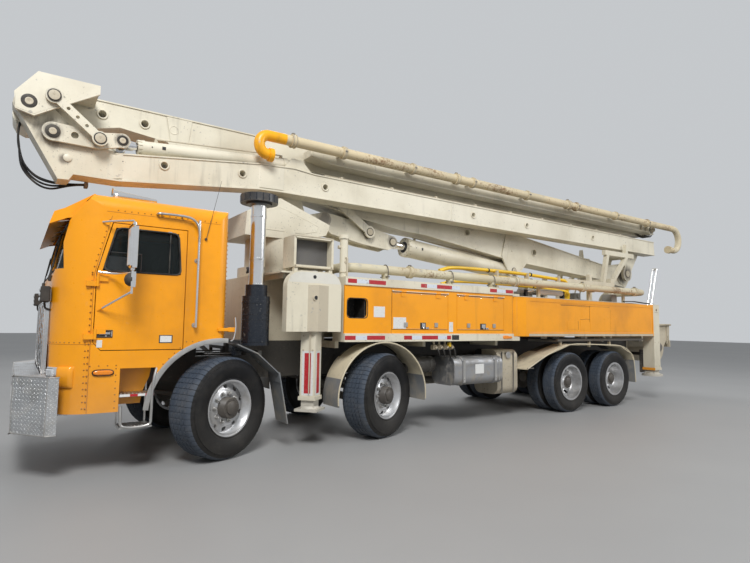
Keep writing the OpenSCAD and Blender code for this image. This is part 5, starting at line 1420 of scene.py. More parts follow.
        hook.hose([(0, 1236, 1520), (-8, 1240, 1400), (12, 1238, 1290), (40, 1232, 1268)], 9, 8, 4)
        hook.twin().done("cab_latch_hooks", Coat.BRIGHT)
        wiper = Shape()
        for s in (-1, 1):
            pivot = front(s * 700, 1890, 14)
            tip = front(s * 560, 2200, 26)
            wiper.rod(front(s * 700, 1890, -4), pivot, 17, 14)
            wiper.rod(pivot, tip, 7, 8, 4)
            wiper.rod(front(s * 655, 1995, 14), front(s * 445, 2365, 14), 7, 6)
            wiper.rod(front(s * 640, 1990, 10), tip, 3, 6)
            wiper.box(
                *zip((screen_x(1850) - 6, s * 700 - 24, 1850), (screen_x(1850) + 24, s * 700 + 24, 1910)), 6
            )
        wiper.done("wipers", Coat.DARK_TRIM)
        aerial = Shape()
        aerial.rod((345, 1216, 2345), (345, 1236, 2345), 14, 12)
        aerial.rod((345, 1232, 2340), (205, 1240, 3000), 3.2, 8, 1.6)
        aerial.done("aerial", Coat.DARK_TRIM)
        strips = Shape()
        strips.box((792, 870), (1213, 1217), (736, 759), 1)
        strips.box((940, 1010), (1213, 1217), (736, 759), 1)
        strips.twin().done("step_tape_red", Coat.WARNING)
        pale = Shape()
        pale.box((870, 940), (1213, 1217), (736, 759), 1)
        pale.box((1010, 1100), (1213, 1217), (736, 759), 1)
        pale.twin().done("step_tape_white", Coat.PLATE)

    def nose_parts(self) -> None:
        """The blank number plate, tow eyes, grille frame beads, visor stays and bumper folds."""
        plate = Shape()
        plate.box((1958, 1962), (-155, 155), (640, 790), 2)
        plate.done("number_plate_blank", Coat.PLATE)
        folds = Shape()
        outer = [(1610, 1240), (1700, 1240), (1950, 900), (1960, 0)]
        for z in (432, 948):
            folds.hose([(x - 2, y - 2, z) for x, y in outer for _ in (0, 1)], 7, 6, 2)
        folds.rod((1949, 899, 434), (1949, 899, 946), 6, 8)
        folds.rod((1699, 1239, 434), (1699, 1239, 946), 6, 8)
        folds.twin().done("bumper_folds", Coat.RAIL)
        bead = Shape()
        ring = [(1735, y, z) for y, z in rounded([(-812, 838), (812, 838), (812, 1642), (-812, 1642)], 30)]
        bead.hose(ring + ring[:1], 9, 8, 1)
        for y in (-400, 0, 400):
            bead.rod((1733, y, 845), (1733, y, 1636), 6, 8)
        bead.done("grille_bead", Coat.BRIGHT)
        stays = Shape()
        for y in (180, 620, 1040):
            stays.rod(front(y, 2438, 2), (1735, y, 2392), 8, 8)
        stays.twin().done("visor_stays", Coat.BRIGHT)
        horn = Shape()
        horn.lathe([
            (54, 380), (60, 405), (76, 425), (80, 430), (77, 433), (50, 408), (18, 320), (0.5, 318)
        ], (790, 900, 2750), "X", 32, closed=False)
        horn.box((822, 858), (872, 928), (2688, 2700), 3)
        horn.done("horn_bell", Coat.BRIGHT)
        amber = Shape()
        amber.loops([
            [
                (x, y, z)
                for x, z in ((1080, 2688), (1075, 2700), (870, 2806), (850, 2806), (790, 2700), (790, 2688))
            ]
            for y in (630, 770)
        ])
        amber.prism([
            (1302, 2692), (1725, 2482), (1758, 2372), (1640, 2425), (1545, 2446), (1425, 2560)
        ], "Y", 1106, 1119)
        amber.prism([
            (1107, 1012), (1107, 640), (878, 640), (858, 760), (800, 900), (782, 1012)
        ], "Y", 985, 997)
        amber.twin().done("cab_amber_plates", Coat.AMBER_TRIM)

    def build(self) -> None:
        """Makes all of the cab's trim."""
        self.seals()
        self.rivets()
        self.lamps()
        self.doors()
        self.rails()
        self.nose_parts()


@dataclass
class Pin:
    """What shows of a joint pin: a dark greasy ring, a stepped cap and a grease nipple."""

    body: str
    x: float
    z: float
    face: float
    radius: float
    side: int = 1
    height: float = 9.0
    bolts: int = 0
    oily: float = 1.0

    def draw(self, ring: Shape, cap: Shape) -> None:
        """Adds the ring and the cap to two meshes."""
        s, r, h = self.side, self.radius, self.height
        centre = (self.x, self.face, self.z)
        inner = r * self.oily
        ring.lathe([
            (r + 12, -s), (r + 12, s * h * 0.35), (r + 7, s * h * 0.5), (inner - 2, s * h * 0.5),
            (inner - 2, -s)
        ], centre, "Y", 36)
        cap.lathe([
            (inner, -s), (inner, s * h * 0.8), (inner - 4, s * h), (r * 0.30, s * h),
            (r * 0.26, s * h * 0.7), (r * 0.14, s * h * 0.7), (0.5, s * h * 0.7)
        ], centre, "Y", 36, closed=False)
        cap.rod(
            (self.x, self.face + s * h * 0.6, self.z), (self.x, self.face + s * (h + 2), self.z), 6, 6, 4,
            0.6
        )
        for u, v in around(self.bolts, r * 0.7, 0.4):
            cap.bolt((self.x + u, self.face + s * h, self.z + v), (0, s, 0), 9)


@dataclass
class BoomTrim:
    """Pin caps, weld seams, doubler plates, pipes, clamps and hoses of the boom."""

    hose_r: float = 13.0
    pipe: tuple = (578.0, 3880.0)
    pins: tuple = (
        Pin("boom_3", 1980, 3670, 575, 60, height=6, oily=0.62),
        Pin("fold_link", 1770, 3770, 630, 52, height=6), Pin("fold_lever", 1330, 3410, 622, 52, height=8),
        Pin("fold_lever", 1760, 3420, 534, 58, height=7, oily=0.62),
        Pin("fold_lever", 1100, 3460, 530, 46, height=7, oily=0.7),
        Pin("boom_1", -9580, 2710, 260, 78, height=12, bolts=4),
        Pin("boom_3", -10390, 3800, 418, 70, height=10, bolts=4),
        Pin("boom_1", -5810, 2520, 150, 52, height=10), Pin("lift_lever", -2470, 2890, 175, 52, height=9),
        Pin("boom_1", -1830, 3310, 175, 52, height=9), Pin("lift_lever", -2960, 2790, 108, 54, height=9),
        Pin("boom_2", -9720, 3130, 260, 62, height=8), Pin("boom_3", 1980, 3670, -248, 60, -1),
        Pin("boom_1", -9580, 2710, -310, 78, -1, 12, 4), Pin("turret", -1050, 3420, -285, 70, -1, 12, 6),
        Pin("boom_1", -5810, 2520, -250, 52, -1, 10), Pin("lift_lever", -2470, 2890, -275, 46, -1, 9),
        Pin("boom_1", -1830, 3310, -275, 46, -1, 9)
    )

    def caps(self) -> None:
        """The caps of the pins, body by body."""
        for body in sorted({pin.body for pin in self.pins}):
            ring, cap = shapes(2)
            for pin in self.pins:
                if pin.body == body:
                    pin.draw(ring, cap)
            ring.done(f"{body}_pin_rings", Coat.GREASE, body)
            cap.done(f"{body}_pin_caps", Coat.DIRTY, body)

    def seams(self) -> None:
        """Weld beads in the corners of the box beams, cross seams and doubler plates."""
        runs = {
            "boom_1": (
                126,
                [(-1100, 3284), (-1450, 3270), (-2200, 3120), (-3130, 3010), (-3640, 2990), (-5470, 2752)],
                [(-1900, 3580), (-4600, 3390), (-6430, 3150), (-8900, 2840)]
            ),
            "boom_2": (
                468, [(1110, 3030), (-540, 3205), (-860, 3215), (-10380, 3200)],
                [(1150, 3303), (-530, 3510), (-1020, 3540), (-1330, 3510), (-10350, 3480)]
            ),
            "boom_3": (
                108, [(510, 3695), (-480, 3682), (-9900, 3710)],
                [(1600, 4005), (-4000, 4008), (-10280, 4005)]
            ),
            "boom_4": (398, [(-1610, 3758), (-10180, 3755)], [(-1700, 4000), (-10230, 4002)])
        }
        for body, (y, low, high) in runs.items():
            bead = Shape()
            for line in (low, high):
                for (xa, za), (xb, zb) in zip(line, line[1:]):
                    bead.weld((xa, y, za), (xb, y, zb), 4.5)
            if body == "boom_2":
                for xa, za, zb in (
                    (700, 3075, 3360), (-560, 3205, 3512), (-3900, 3200, 3500), (-7100, 3200, 3490)
                ):
                    bead.weld((xa, y, za), (xa + 6, y, zb), 3.5)
            if body == "boom_1":
                for xa, za, zb in ((-3640, 2990, 3460), (-7000, 2660, 3060), (-8570, 2570, 2880)):
                    bead.weld((xa, y, za), (xa, y, zb), 3.5)
            bead.done(f"{body}_welds", Coat.BOOM_SHEET, body)
        plates = Shape()
        for x0, x1, low, high in (
            (1068, 1228, (3045, 3022), (3318, 3292)), (-880, -520, (3225, 3215), (3518, 3508))
        ):
            plates.loops([
                [(x0, 467, z[0]), (x0 + 26, 479, z[0]), (x1 - 26, 479, z[1]), (x1, 467, z[1])]
                for z in (low, high)
            ])
        plates.lathe([(42, -2), (42, 9), (38, 12), (0.5, 12)], (1610, 468, 3180), "Y", 32, closed=False)
        for x, z in ((1660, 3350), (1700, 3240), (1180, 3130), (1290, 3110)):
            plates.rivet((x, 468, z), (0, 1, 0), 9)
        plates.done("boom_2_doublers", Coat.BOOM_SHEET, "boom_2")
        girders = Shape()
        girders.prism([
            (-5600, 2600), (-5700, 2480), (-5920, 2480), (-6060, 2620), (-6020, 3060), (-5680, 3080)
        ], "Y", 144, 148)
        girders.rivet((-5760, 145, 2900), (0, 1, 0), 24)
        girders.rivet((-5900, 145, 3020), (0, 1, 0), 16)
        girders.done("boom_1_doublers", Coat.BOOM_SHEET, "boom_1")
        cover = Shape()
        outline = [
            (-472, 2692), (-472, 2848), (-838, 3002), (-985, 2968), (-1438, 2808), (-1405, 2735),
            (-1200, 2684)
        ]
        cover.prism(outline, "Y", 408, 423)
        cover.prism(outline, "Y", -423, -408)
        for a, b in zip(outline, outline[1:] + outline[:1]):
            cover.weld((a[0], 422, a[1]), (b[0], 422, b[1]), 4)
        cover.done("turret_covers", Coat.BOOM_SHEET, "turret")
        cheek = Shape()
        cheek.prism([
            (1700, 3700), (1935, 3548), (2082, 3580), (2098, 3735), (1905, 3985), (1700, 3985)
        ], "Y", 573, 577)
        cheek.prism([
            (560, 4004), (255, 4004), (296, 3690), (340, 3540), (432, 3540), (505, 3700)
        ], "Y", 106, 119)
        cheek.weld((565, 109, 4000), (507, 109, 3700), 4)
        cheek.weld((250, 109, 4000), (292, 109, 3690), 4)
        cheek.done("boom_3_cheek_doubler", Coat.BOOM_SHEET, "boom_3")

    def rings(self) -> None:
        """Bevelled bushes in the through-holes, with dark bores."""
        sets = {
            "boom_2": (
                478, 38,
                ((-300, 3350), (640, 3280), (-1500, 3370), (-4400, 3360), (-5800, 3350), (-7900, 3340))
            ),
            "boom_1": (136, 55, ((-8900, 2690), (-6430, 2930), (-4590, 3130))),
            "boom_3": (
                118, 42,
                ((1270, 3860), (810, 3850), (470, 3850), (-2000, 3845), (-5000, 3845), (-8200, 3850))
            )
        }
        for body, (face, bore, places) in sets.items():
            ring = Shape()
            for x, z in places:
                ring.lathe([
                    (bore + 0.5, -30), (bore + 0.5, 3), (bore + 4, 6), (bore + 14, 6), (bore + 19, 0),
                    (bore + 19, -3)
                ], (x, face - 1, z), "Y", 36)
            ring.done(f"{body}_hole_rings", Coat.BUSH, body)

    def pipes(self) -> None:
        """Hydraulic tubes on the second section, bands and brackets of the delivery pipe."""
        tubes, clips = shapes(2)
        for k in range(4):
            y = 448 - k * 24
            tubes.hose([(-1500, y, 3546), (-4000, y, 3536), (-7000, y, 3526), (-9300, y, 3518)], 8, 8, 8)
        for x in range(-9000, -1500, 900):
            z = 3500 + (x + 10370) * 0.0033
            clips.box((x, x + 40), (364, 460), (z - 2, z + 42), 4)
            clips.bolt((x + 20, 412, z + 42), (0, 0, 1), 12)
        tubes.done("boom_2_tubes", Coat.DIRTY, "boom_2")
        clips.done("boom_2_clips", Coat.DIRTY, "boom_2")
        bands, bolts = shapes(2)
        for x in (-940, -3900, -6900):
            for dx in (-24, 24):
                bands.lathe([
                    (89, -7), (93, -5), (93, 5), (89, 7), (84, 7), (84, -7)
                ], (x + dx, *self.pipe), "X", 40)
            bolts.box((x - 22, x + 22), (560, 596), (3964, 3990), 4)
            bolts.bolt((x, 596, 3978), (0, 1, 0), 14)
        for x in (-1750, -3000, -4300, -5700, -7200, -8600, -9900):
            bands.lathe([
                (88, -18), (91, -15), (91, 15), (88, 18), (84, 18), (84, -18)
            ], (x + 25, *self.pipe), "X", 40)
            bolts.box((x + 5, x + 45), (640, 676), (3868, 3892), 4)
            bolts.bolt((x + 25, 658, 3892), (0, 0, 1), 13)
            bolts.box((x + 4, x + 46), (408, 500), (3858, 3902), 6)
        bands.done("pipe_bands", Coat.COUPLING, "boom_4")
        bolts.done("pipe_bolts", Coat.WORN_TRIM, "boom_4")

    def knuckle_hoses(self) -> None:
        """Black hoses that hang in loops under the front knuckle and at the tail."""
        hoses = Shape()
        for k in range(4):
            y, out = 138 + k * 19, (0, 48, 16, 90)[k]
            route = [
                (1380, 2990), (1560, 2972 - out * 0.3), (1740, 2975 - out), (1880, 3020 - out),
                (1985 + out * 0.2, 3130 - out * 0.6), (2040, 3290), (2056, 3420), (2048, 3540), (2004, 3660)
            ]
            hoses.hose([
                (x, y + 6 * math.sin(i + k), z) for i, (x, z) in enumerate(route)
            ], self.hose_r - 2, 10, 6)
        hoses.done("knuckle_hoses", Coat.HOSE, "boom_2")
        clip = Shape()
        clip.box((1380, 1420), (128, 212), (2950, 3010), 5)
        clip.box((1985, 2040), (128, 206), (3640, 3680), 5)
        clip.done("knuckle_hose_clips", Coat.WORN_TRIM, "boom_2")
        tail = Shape()
        for k in range(4):
            y = 190 + k * 52
            tail.hose([
                (-9700, y, 4004 - k * 3), (-10050, y, 4008), (-10400, y + 10, 4000), (-10560, y, 3940),
                (-10600, y - 20, 3840), (-10520, y, 3700), (-10380, y + 20, 3640), (-10200, y, 3668)
            ], self.hose_r, 10, 6)
        tail.done("tail_hoses", Coat.HOSE, "boom_4")
        knot = Shape()
        for k in range(3):
            knot.lathe(
                [(62 - k * 9, 0), (66 - k * 9, 6), (66 - k * 9, 22), (62 - k * 9, 28)],
                (-10390, 412 + k * 22, 3800), "Y", 30, closed=False
            )
        knot.box((-10180, -10120), (405, 440), (3760, 3990), 5)
        knot.box((-9960, -9925), (405, 430), (3745, 4010), 5)
        knot.done("tail_brackets", Coat.DIRTY, "boom_4")

    def rams(self) -> None:
        """Gland bolts, port blocks and hydraulic fittings of the two cylinders."""
        for body, base, to, y, long, r in (
            ("lift_barrel", (-5810, 2520), (-2960, 2790), -50, 2520, 155),
            ("fold_barrel", (-1070, 3630), (1100, 3460), 340, 1996, 80)
        ):
            turn = math.atan2(to[1] - base[1], to[0] - base[0])
            fit, dark = shapes(2)

            def local(along: float, out: float, side: float) -> tuple:
                """A point beside the cylinder."""
                return (
                    base[0] + along * math.cos(turn) - out * math.sin(turn), y + side,
                    base[1] + along * math.sin(turn) + out * math.cos(turn)
                )

            for side, out in around(12, r - 22, math.pi / 12):
                fit.bolt(local(long, out, side), (math.cos(turn), 0, math.sin(turn)), r * 0.08)
            for side, out in around(30, r - 4):
                fit.rod(local(long - 46, out, side), local(long + 6, out, side), r * 0.055, 6)
            # Near-black discs for the gland's opening round the rod and for a port, and a small dark square
            # on the side: painted shade in openings.
            dark.rod(local(long - 2, 0, 0), local(long + 5, 0, 0), r * 0.6, 28)
            for along in (190, long - 210):
                fit.rod(local(along, r - 4, 0), local(along, r + 24, 0), 24, 14)
                fit.rod(local(along, r + 20, 0), local(along, r + 40, 0), 15, 6)
            fit.hose([
                local(190, r + 34, 0), local(300, r + 40, 0), local(long - 340, r + 40, 0),
                local(long - 215, r + 34, 0)
            ], 9, 8, 4)
            dark.rod(local(long - 150, 0, r - 3), local(long - 150, 0, r + 2), 9, 8)
            dark.box(
                *(
                    sorted((p, q))
                    for p, q in zip(local(long - 300, -20, r - 6), local(long - 262, 22, r + 1.5))
                ),
                1
            )
            fit.done(f"{body}_fittings", Coat.DIRTY, body)
            dark.done(f"{body}_marks", Coat.OPENING, body)

    def build(self) -> None:
        """Makes all of the boom's trim."""
        self.caps()
        self.seams()
        self.rings()
        self.pipes()
        self.knuckle_hoses()
        self.rams()


@dataclass
class DeckTrim:
    """Tapes, latches, placards, tubes and hoses of the lockers and the deck."""

    rail: float = 1250.0
    wall: float = 1235.0
    deck: float = 1979.0
    pipe: tuple = (1000.0, 2210.0)
    stack_axis: tuple = (-310.0, 1040.0)
    upper: tuple = (
        (-1422, -1556, -1739, -2008), (-2603, -2711, -2895, -3181, -3339), (-3966, -4120, -4318, -4487)
    )
    lower: tuple = ((-1367, -1551, -1722, -2004), (-2316, -2453, -2628, -2918, -3087, -3164))

    def tapes(self) -> None:
        """Red and white reflective tape on both rails."""
        for turn, colour in enumerate((TapeColour.RED, TapeColour.WHITE)):
            strip = Shape()
            for runs, z in ((self.upper, (1983, 2035)), (self.lower, (1270, 1322))):
                for run in runs:
                    for i, (a, b) in enumerate(zip(run, run[1:])):
                        if i % 2 == turn:
                            strip.box(
                                (max(b, -4498) + 1, min(a, -1392) - 1), (self.rail - 1, self.rail + 1.3), z,
                                0.4
                            )
            strip.twin().done(f"rail_tape_{colour.name.lower()}", Coat[f"TAPE_{colour.name}"])

    def walls(self) -> None:
        """Placards, the latch boxes, seams, lamps and rivets of the locker walls."""
        white, dark, chrome, lamp = shapes(4)
        w = self.wall
        white.box((-3215, -3140), (w - 1, w + 2.5), (1374, 1516), 0.8)
        white.box((-2006, -1830), (w - 1, w + 2.5), (1560, 1700), 0.8)
        # A near-black slot on the rail, lines along the door gaps and a ring round a panel: painted shade in
        # gaps and openings.
        dark.box((-3320, -3183), (self.rail - 1, self.rail + 2), (1262, 1330), 0.8)
        for x in (-2114, -4486):
            dark.box((x - 1.5, x + 1.5), (w - 1, w + 1), (1352, 1955), 0.4)
        frame = rounded([(-1735, 1545), (-1425, 1545), (-1425, 1795), (-1735, 1795)], 55)
        dark.hose([(x, w + 1, z) for x, z in frame] + [(-1735, w + 1, 1600)], 5, 6, 1)
        edge = ((-1, -0.6), (-0.7, -1), (0.7, -1), (1, -0.6), (1, 0.6), (0.7, 1), (-0.7, 1), (-1, 0.6))
        for x, z, foot, crown in (
            (-4400, 1295, (55, 20, 2), (44, 13, 17)), (-4318, 1297, (68, 27, -1), (58, 20, 14))
        ):
            lamp.loops([
                [(x + u * a, self.rail + y, z + v * b) for u, v in edge] for a, b, y in (foot, crown)
            ])
        for x in range(-4470, -1400, 180):
            for z in (1257, 1342, 1966, 2052):
                chrome.rivet((x, self.rail, z), (0, 1, 0), 5)
        for shape, name, coat in (
            (white, "wall_placards", Coat.PLATE), (dark, "wall_seams", Coat.OPENING),
            (chrome, "rail_rivets", Coat.DIRTY), (lamp, "rail_lamps", Coat.LENS_AMBER)
        ):
            shape.twin().done(name, coat)

    def doors(self) -> None:
        """Latches, placards and edge folds of the two locker doors."""
        for body, x0, x1, latch, card in (
            ("locker_door_1", -3120, -2120, (-2710, -2601), (-2359, -2145, 1415, 1566)),
            ("locker_door_2", -4290, -3290, (-3891, -3763), None)
        ):
            w = self.wall
            steel, dark, white = shapes(3)
            for a, b, z0, z1 in ((x0 + 14, x1 - 14, 1412, 1416), (x0 + 14, x1 - 14, 1889, 1893)):
                steel.box((a, b), (w - 1, w + 2), (z0, z1), 0.8)
            lx0, lx1 = latch
            # Near-black recess behind the latch and a keyhole beside it: painted shade.
            dark.box((lx0 + 4, lx1 - 4), (w - 1, w + 4), (1412, 1500), 2)
            steel.box((lx0 + 22, lx1 - 30), (w + 3, w + 15), (1430, 1494), 5)
            steel.rod(((lx0 + lx1) / 2 - 8, w + 2, 1425), ((lx0 + lx1) / 2 - 8, w + 20, 1425), 12, 14)
            steel.box((lx0 - 46, lx0 + 10), (w + 2, w + 12), (1412, 1440), 3)
            dark.rod((lx0 - 24, w + 11, 1426), (lx0 - 24, w + 13.5, 1426), 8, 12)
            if card:
                white.box((card[0], card[1]), (w - 1, w + 2.5), (card[2], card[3]), 0.8)
            for x in (x0 + 60, (x0 + x1) / 2, x1 - 60):
                steel.rivet((x, w, 1880), (0, 1, 0), 6)
            dark.done(f"{body}_latch_backs", Coat.OPENING, body)
            steel.done(f"{body}_latches", Coat.BRIGHT, body, slot="bright_steel")
            if card:
                white.done(f"{body}_placard", Coat.PLATE, body)
            else:
                white.bm.free()

    def tubes(self) -> None:
        """Yellow and cream tubes, the swing cylinders and cables on the rear deck."""
        yellow, cream, black, chrome, white = shapes(5)
        for k in range(3):
            z, y = 2150 + k * 110, 660 - k * 22
            yellow.hose([
                (-3500, y, z - 40), (-3900, y, z + 30), (-5300, y, z + 40), (-6500, y, z),
                (-6740, y, z - 30), (-6800, y - 30, z - 110), (-6800, y - 40, 1985)
            ], 30, 12, 6)
            for x in (-4600, -5700):
                black.lathe([(36, -14), (38, 0), (36, 14), (30, 14), (30, -14)], (x, y, z + 38), "X", 20)
        for x in (-4800, -5600, -6500):
            cream.box((x, x + 40), (590, 680), (self.deck, 2420), 4)
        for s in (1, -1):
            white.lathe(
                [(38, 0), (52, 4), (52, 700), (46, 716), (40, 720)], (-6300, s * 830, 2085), "X", 28,
                closed=False
            )
            chrome.rod((-5585, s * 830, 2085), (-5330, s * 830, 2085), 22, 16)
            black.lathe([(56, -14), (56, 14), (40, 18), (40, -18)], (-5600, s * 830, 2085), "X", 24)
            black.box((-6360, -6296), (s * 830 - 36, s * 830 + 36), (self.deck, 2120), 6)
            black.box((-5335, -5270), (s * 830 - 30, s * 830 + 30), (self.deck, 2110), 6)
        for k in range(4):
            y = 560 - k * 40
            black.hose([
                (-4800, y, 2000), (-5400, y + 15, 2006), (-6200, y - 10, 1999), (-7100, y + 5, 2006),
                (-8200, y, 1998)
            ], 12, 8, 6)
            black.hose([
                (-1670, 500 - k * 45, 2026), (-2300, 490 - k * 45, 2028), (-3300, 505 - k * 45, 2026),
                (-4450, 500 - k * 45, 2027)
            ], 12, 8, 6)
        for k in range(3):
            black.hose([
                (-470, 300 + k * 70, 2110), (-440 + k * 10, 430, 2160), (-380, 640, 2130 - k * 20),
                (-420, 700 + k * 40, 2092)
            ], 13, 8, 6)
        yellow.done("deck_tubes_yellow", Coat.TUBE_YELLOW)
        cream.done("deck_tube_posts", Coat.DIRTY)
        black.done("deck_hoses", Coat.HOSE)
        chrome.done("swing_rods", Coat.SMALL_ROD)
        white.done("swing_cylinders", Coat.CYLINDER)

    def line(self) -> None:
        """Bands, wedge clamps and bolts on the deck's delivery line."""
        bands, bolts = shapes(2)
        for x in (-2600, -4830, -6700, -8500):
            for dx in (-26, 26):
                bands.lathe([
                    (82, -7), (87, -5), (87, 5), (82, 7), (78, 7), (78, -7)
                ], (x + dx, *self.pipe), "X", 36)
            bolts.box((x - 20, x + 20), (980, 1020), (2288, 2314), 4)
            bolts.bolt((x, 1020, 2302), (0, 1, 0), 14)
        for x in (-2170, -3370, -4270):
            bolts.hose([
                (x, 930, 2120), (x, 926, 2215), (x, 962, 2270), (x, 1000, 2281), (x, 1038, 2270),
                (x, 1074, 2215), (x, 1070, 2120)
            ], 7, 8, 4)
            bolts.box((x - 24, x + 24), (918, 1082), (2108, 2122), 3)
        bands.done("deck_pipe_bands", Coat.COUPLING)
        bolts.done("deck_pipe_bolts", Coat.WORN_TRIM)

    def stack(self) -> None:
        """Bands, ribs and the rim of the intake, and the cooler's fittings."""
        bands, chrome, cream = shapes(3)
        for z in (1262, 1700):
            bands.lathe(
                [(157, -16), (162, -14), (162, 14), (157, 16)], (*self.stack_axis, z), "Z", 48, closed=False
            )
        for z in (1500, 1560):
            bands.lathe([(157, -4), (161, 0), (157, 4)], (*self.stack_axis, z), "Z", 48, closed=False)
        for z in (1905, 2200, 2700, 2826):
            chrome.lathe(
                [(88, -14), (93, -12), (93, 12), (88, 14)], (*self.stack_axis, z), "Z", 40, closed=False
            )
            chrome.box((-330, -290), (1128, 1146), (z - 8, z + 8), 3)
        for u, v in around(18, 212):
            bands.box((-316 + u, -304 + u), (1034 + v, 1046 + v), (2862, 2944), 2)
        bands.lathe(
            [(30, 0), (120, 3), (160, 8), (190, 2), (205, -4)], (*self.stack_axis, 2944), "Z", 48,
            closed=False
        )
        for x in (-1300, -800):
            for z in (2170, 2520):
                cream.bolt((x + 20, 1075, z), (0, 1, 0), 14)
        cream.box((-1312, -758), (1070, 1079), (2146, 2160), 2)
        cream.box((-1312, -758), (1070, 1079), (2528, 2542), 2)
        cream.rod((-1440, 1110, 2440), (-1360, 1100, 2440), 24, 14)
        cream.hose([
            (-1440, 1160, 2300), (-1440, 1190, 2300), (-1440, 1198, 2260), (-1440, 1196, 2075)
        ], 13, 10, 5)
        cream.rod((-1440, 1060, 2250), (-1440, 1170, 2250), 20, 14)
        cream.lathe([(52, -8), (60, -6), (60, 6), (52, 8)], (-1440, 1110, 2120), "Z", 32, closed=False)
        bands.done("stack_bands", Coat.STACK)
        chrome.done("stack_clamps", Coat.BRIGHT)
        cream.done("cooler_fittings", Coat.DIRTY)

    def build(self) -> None:
        """Makes all of the deck's trim."""
        self.tapes()
        self.walls()
        self.doors()
        self.tubes()
        self.line()
        self.stack()


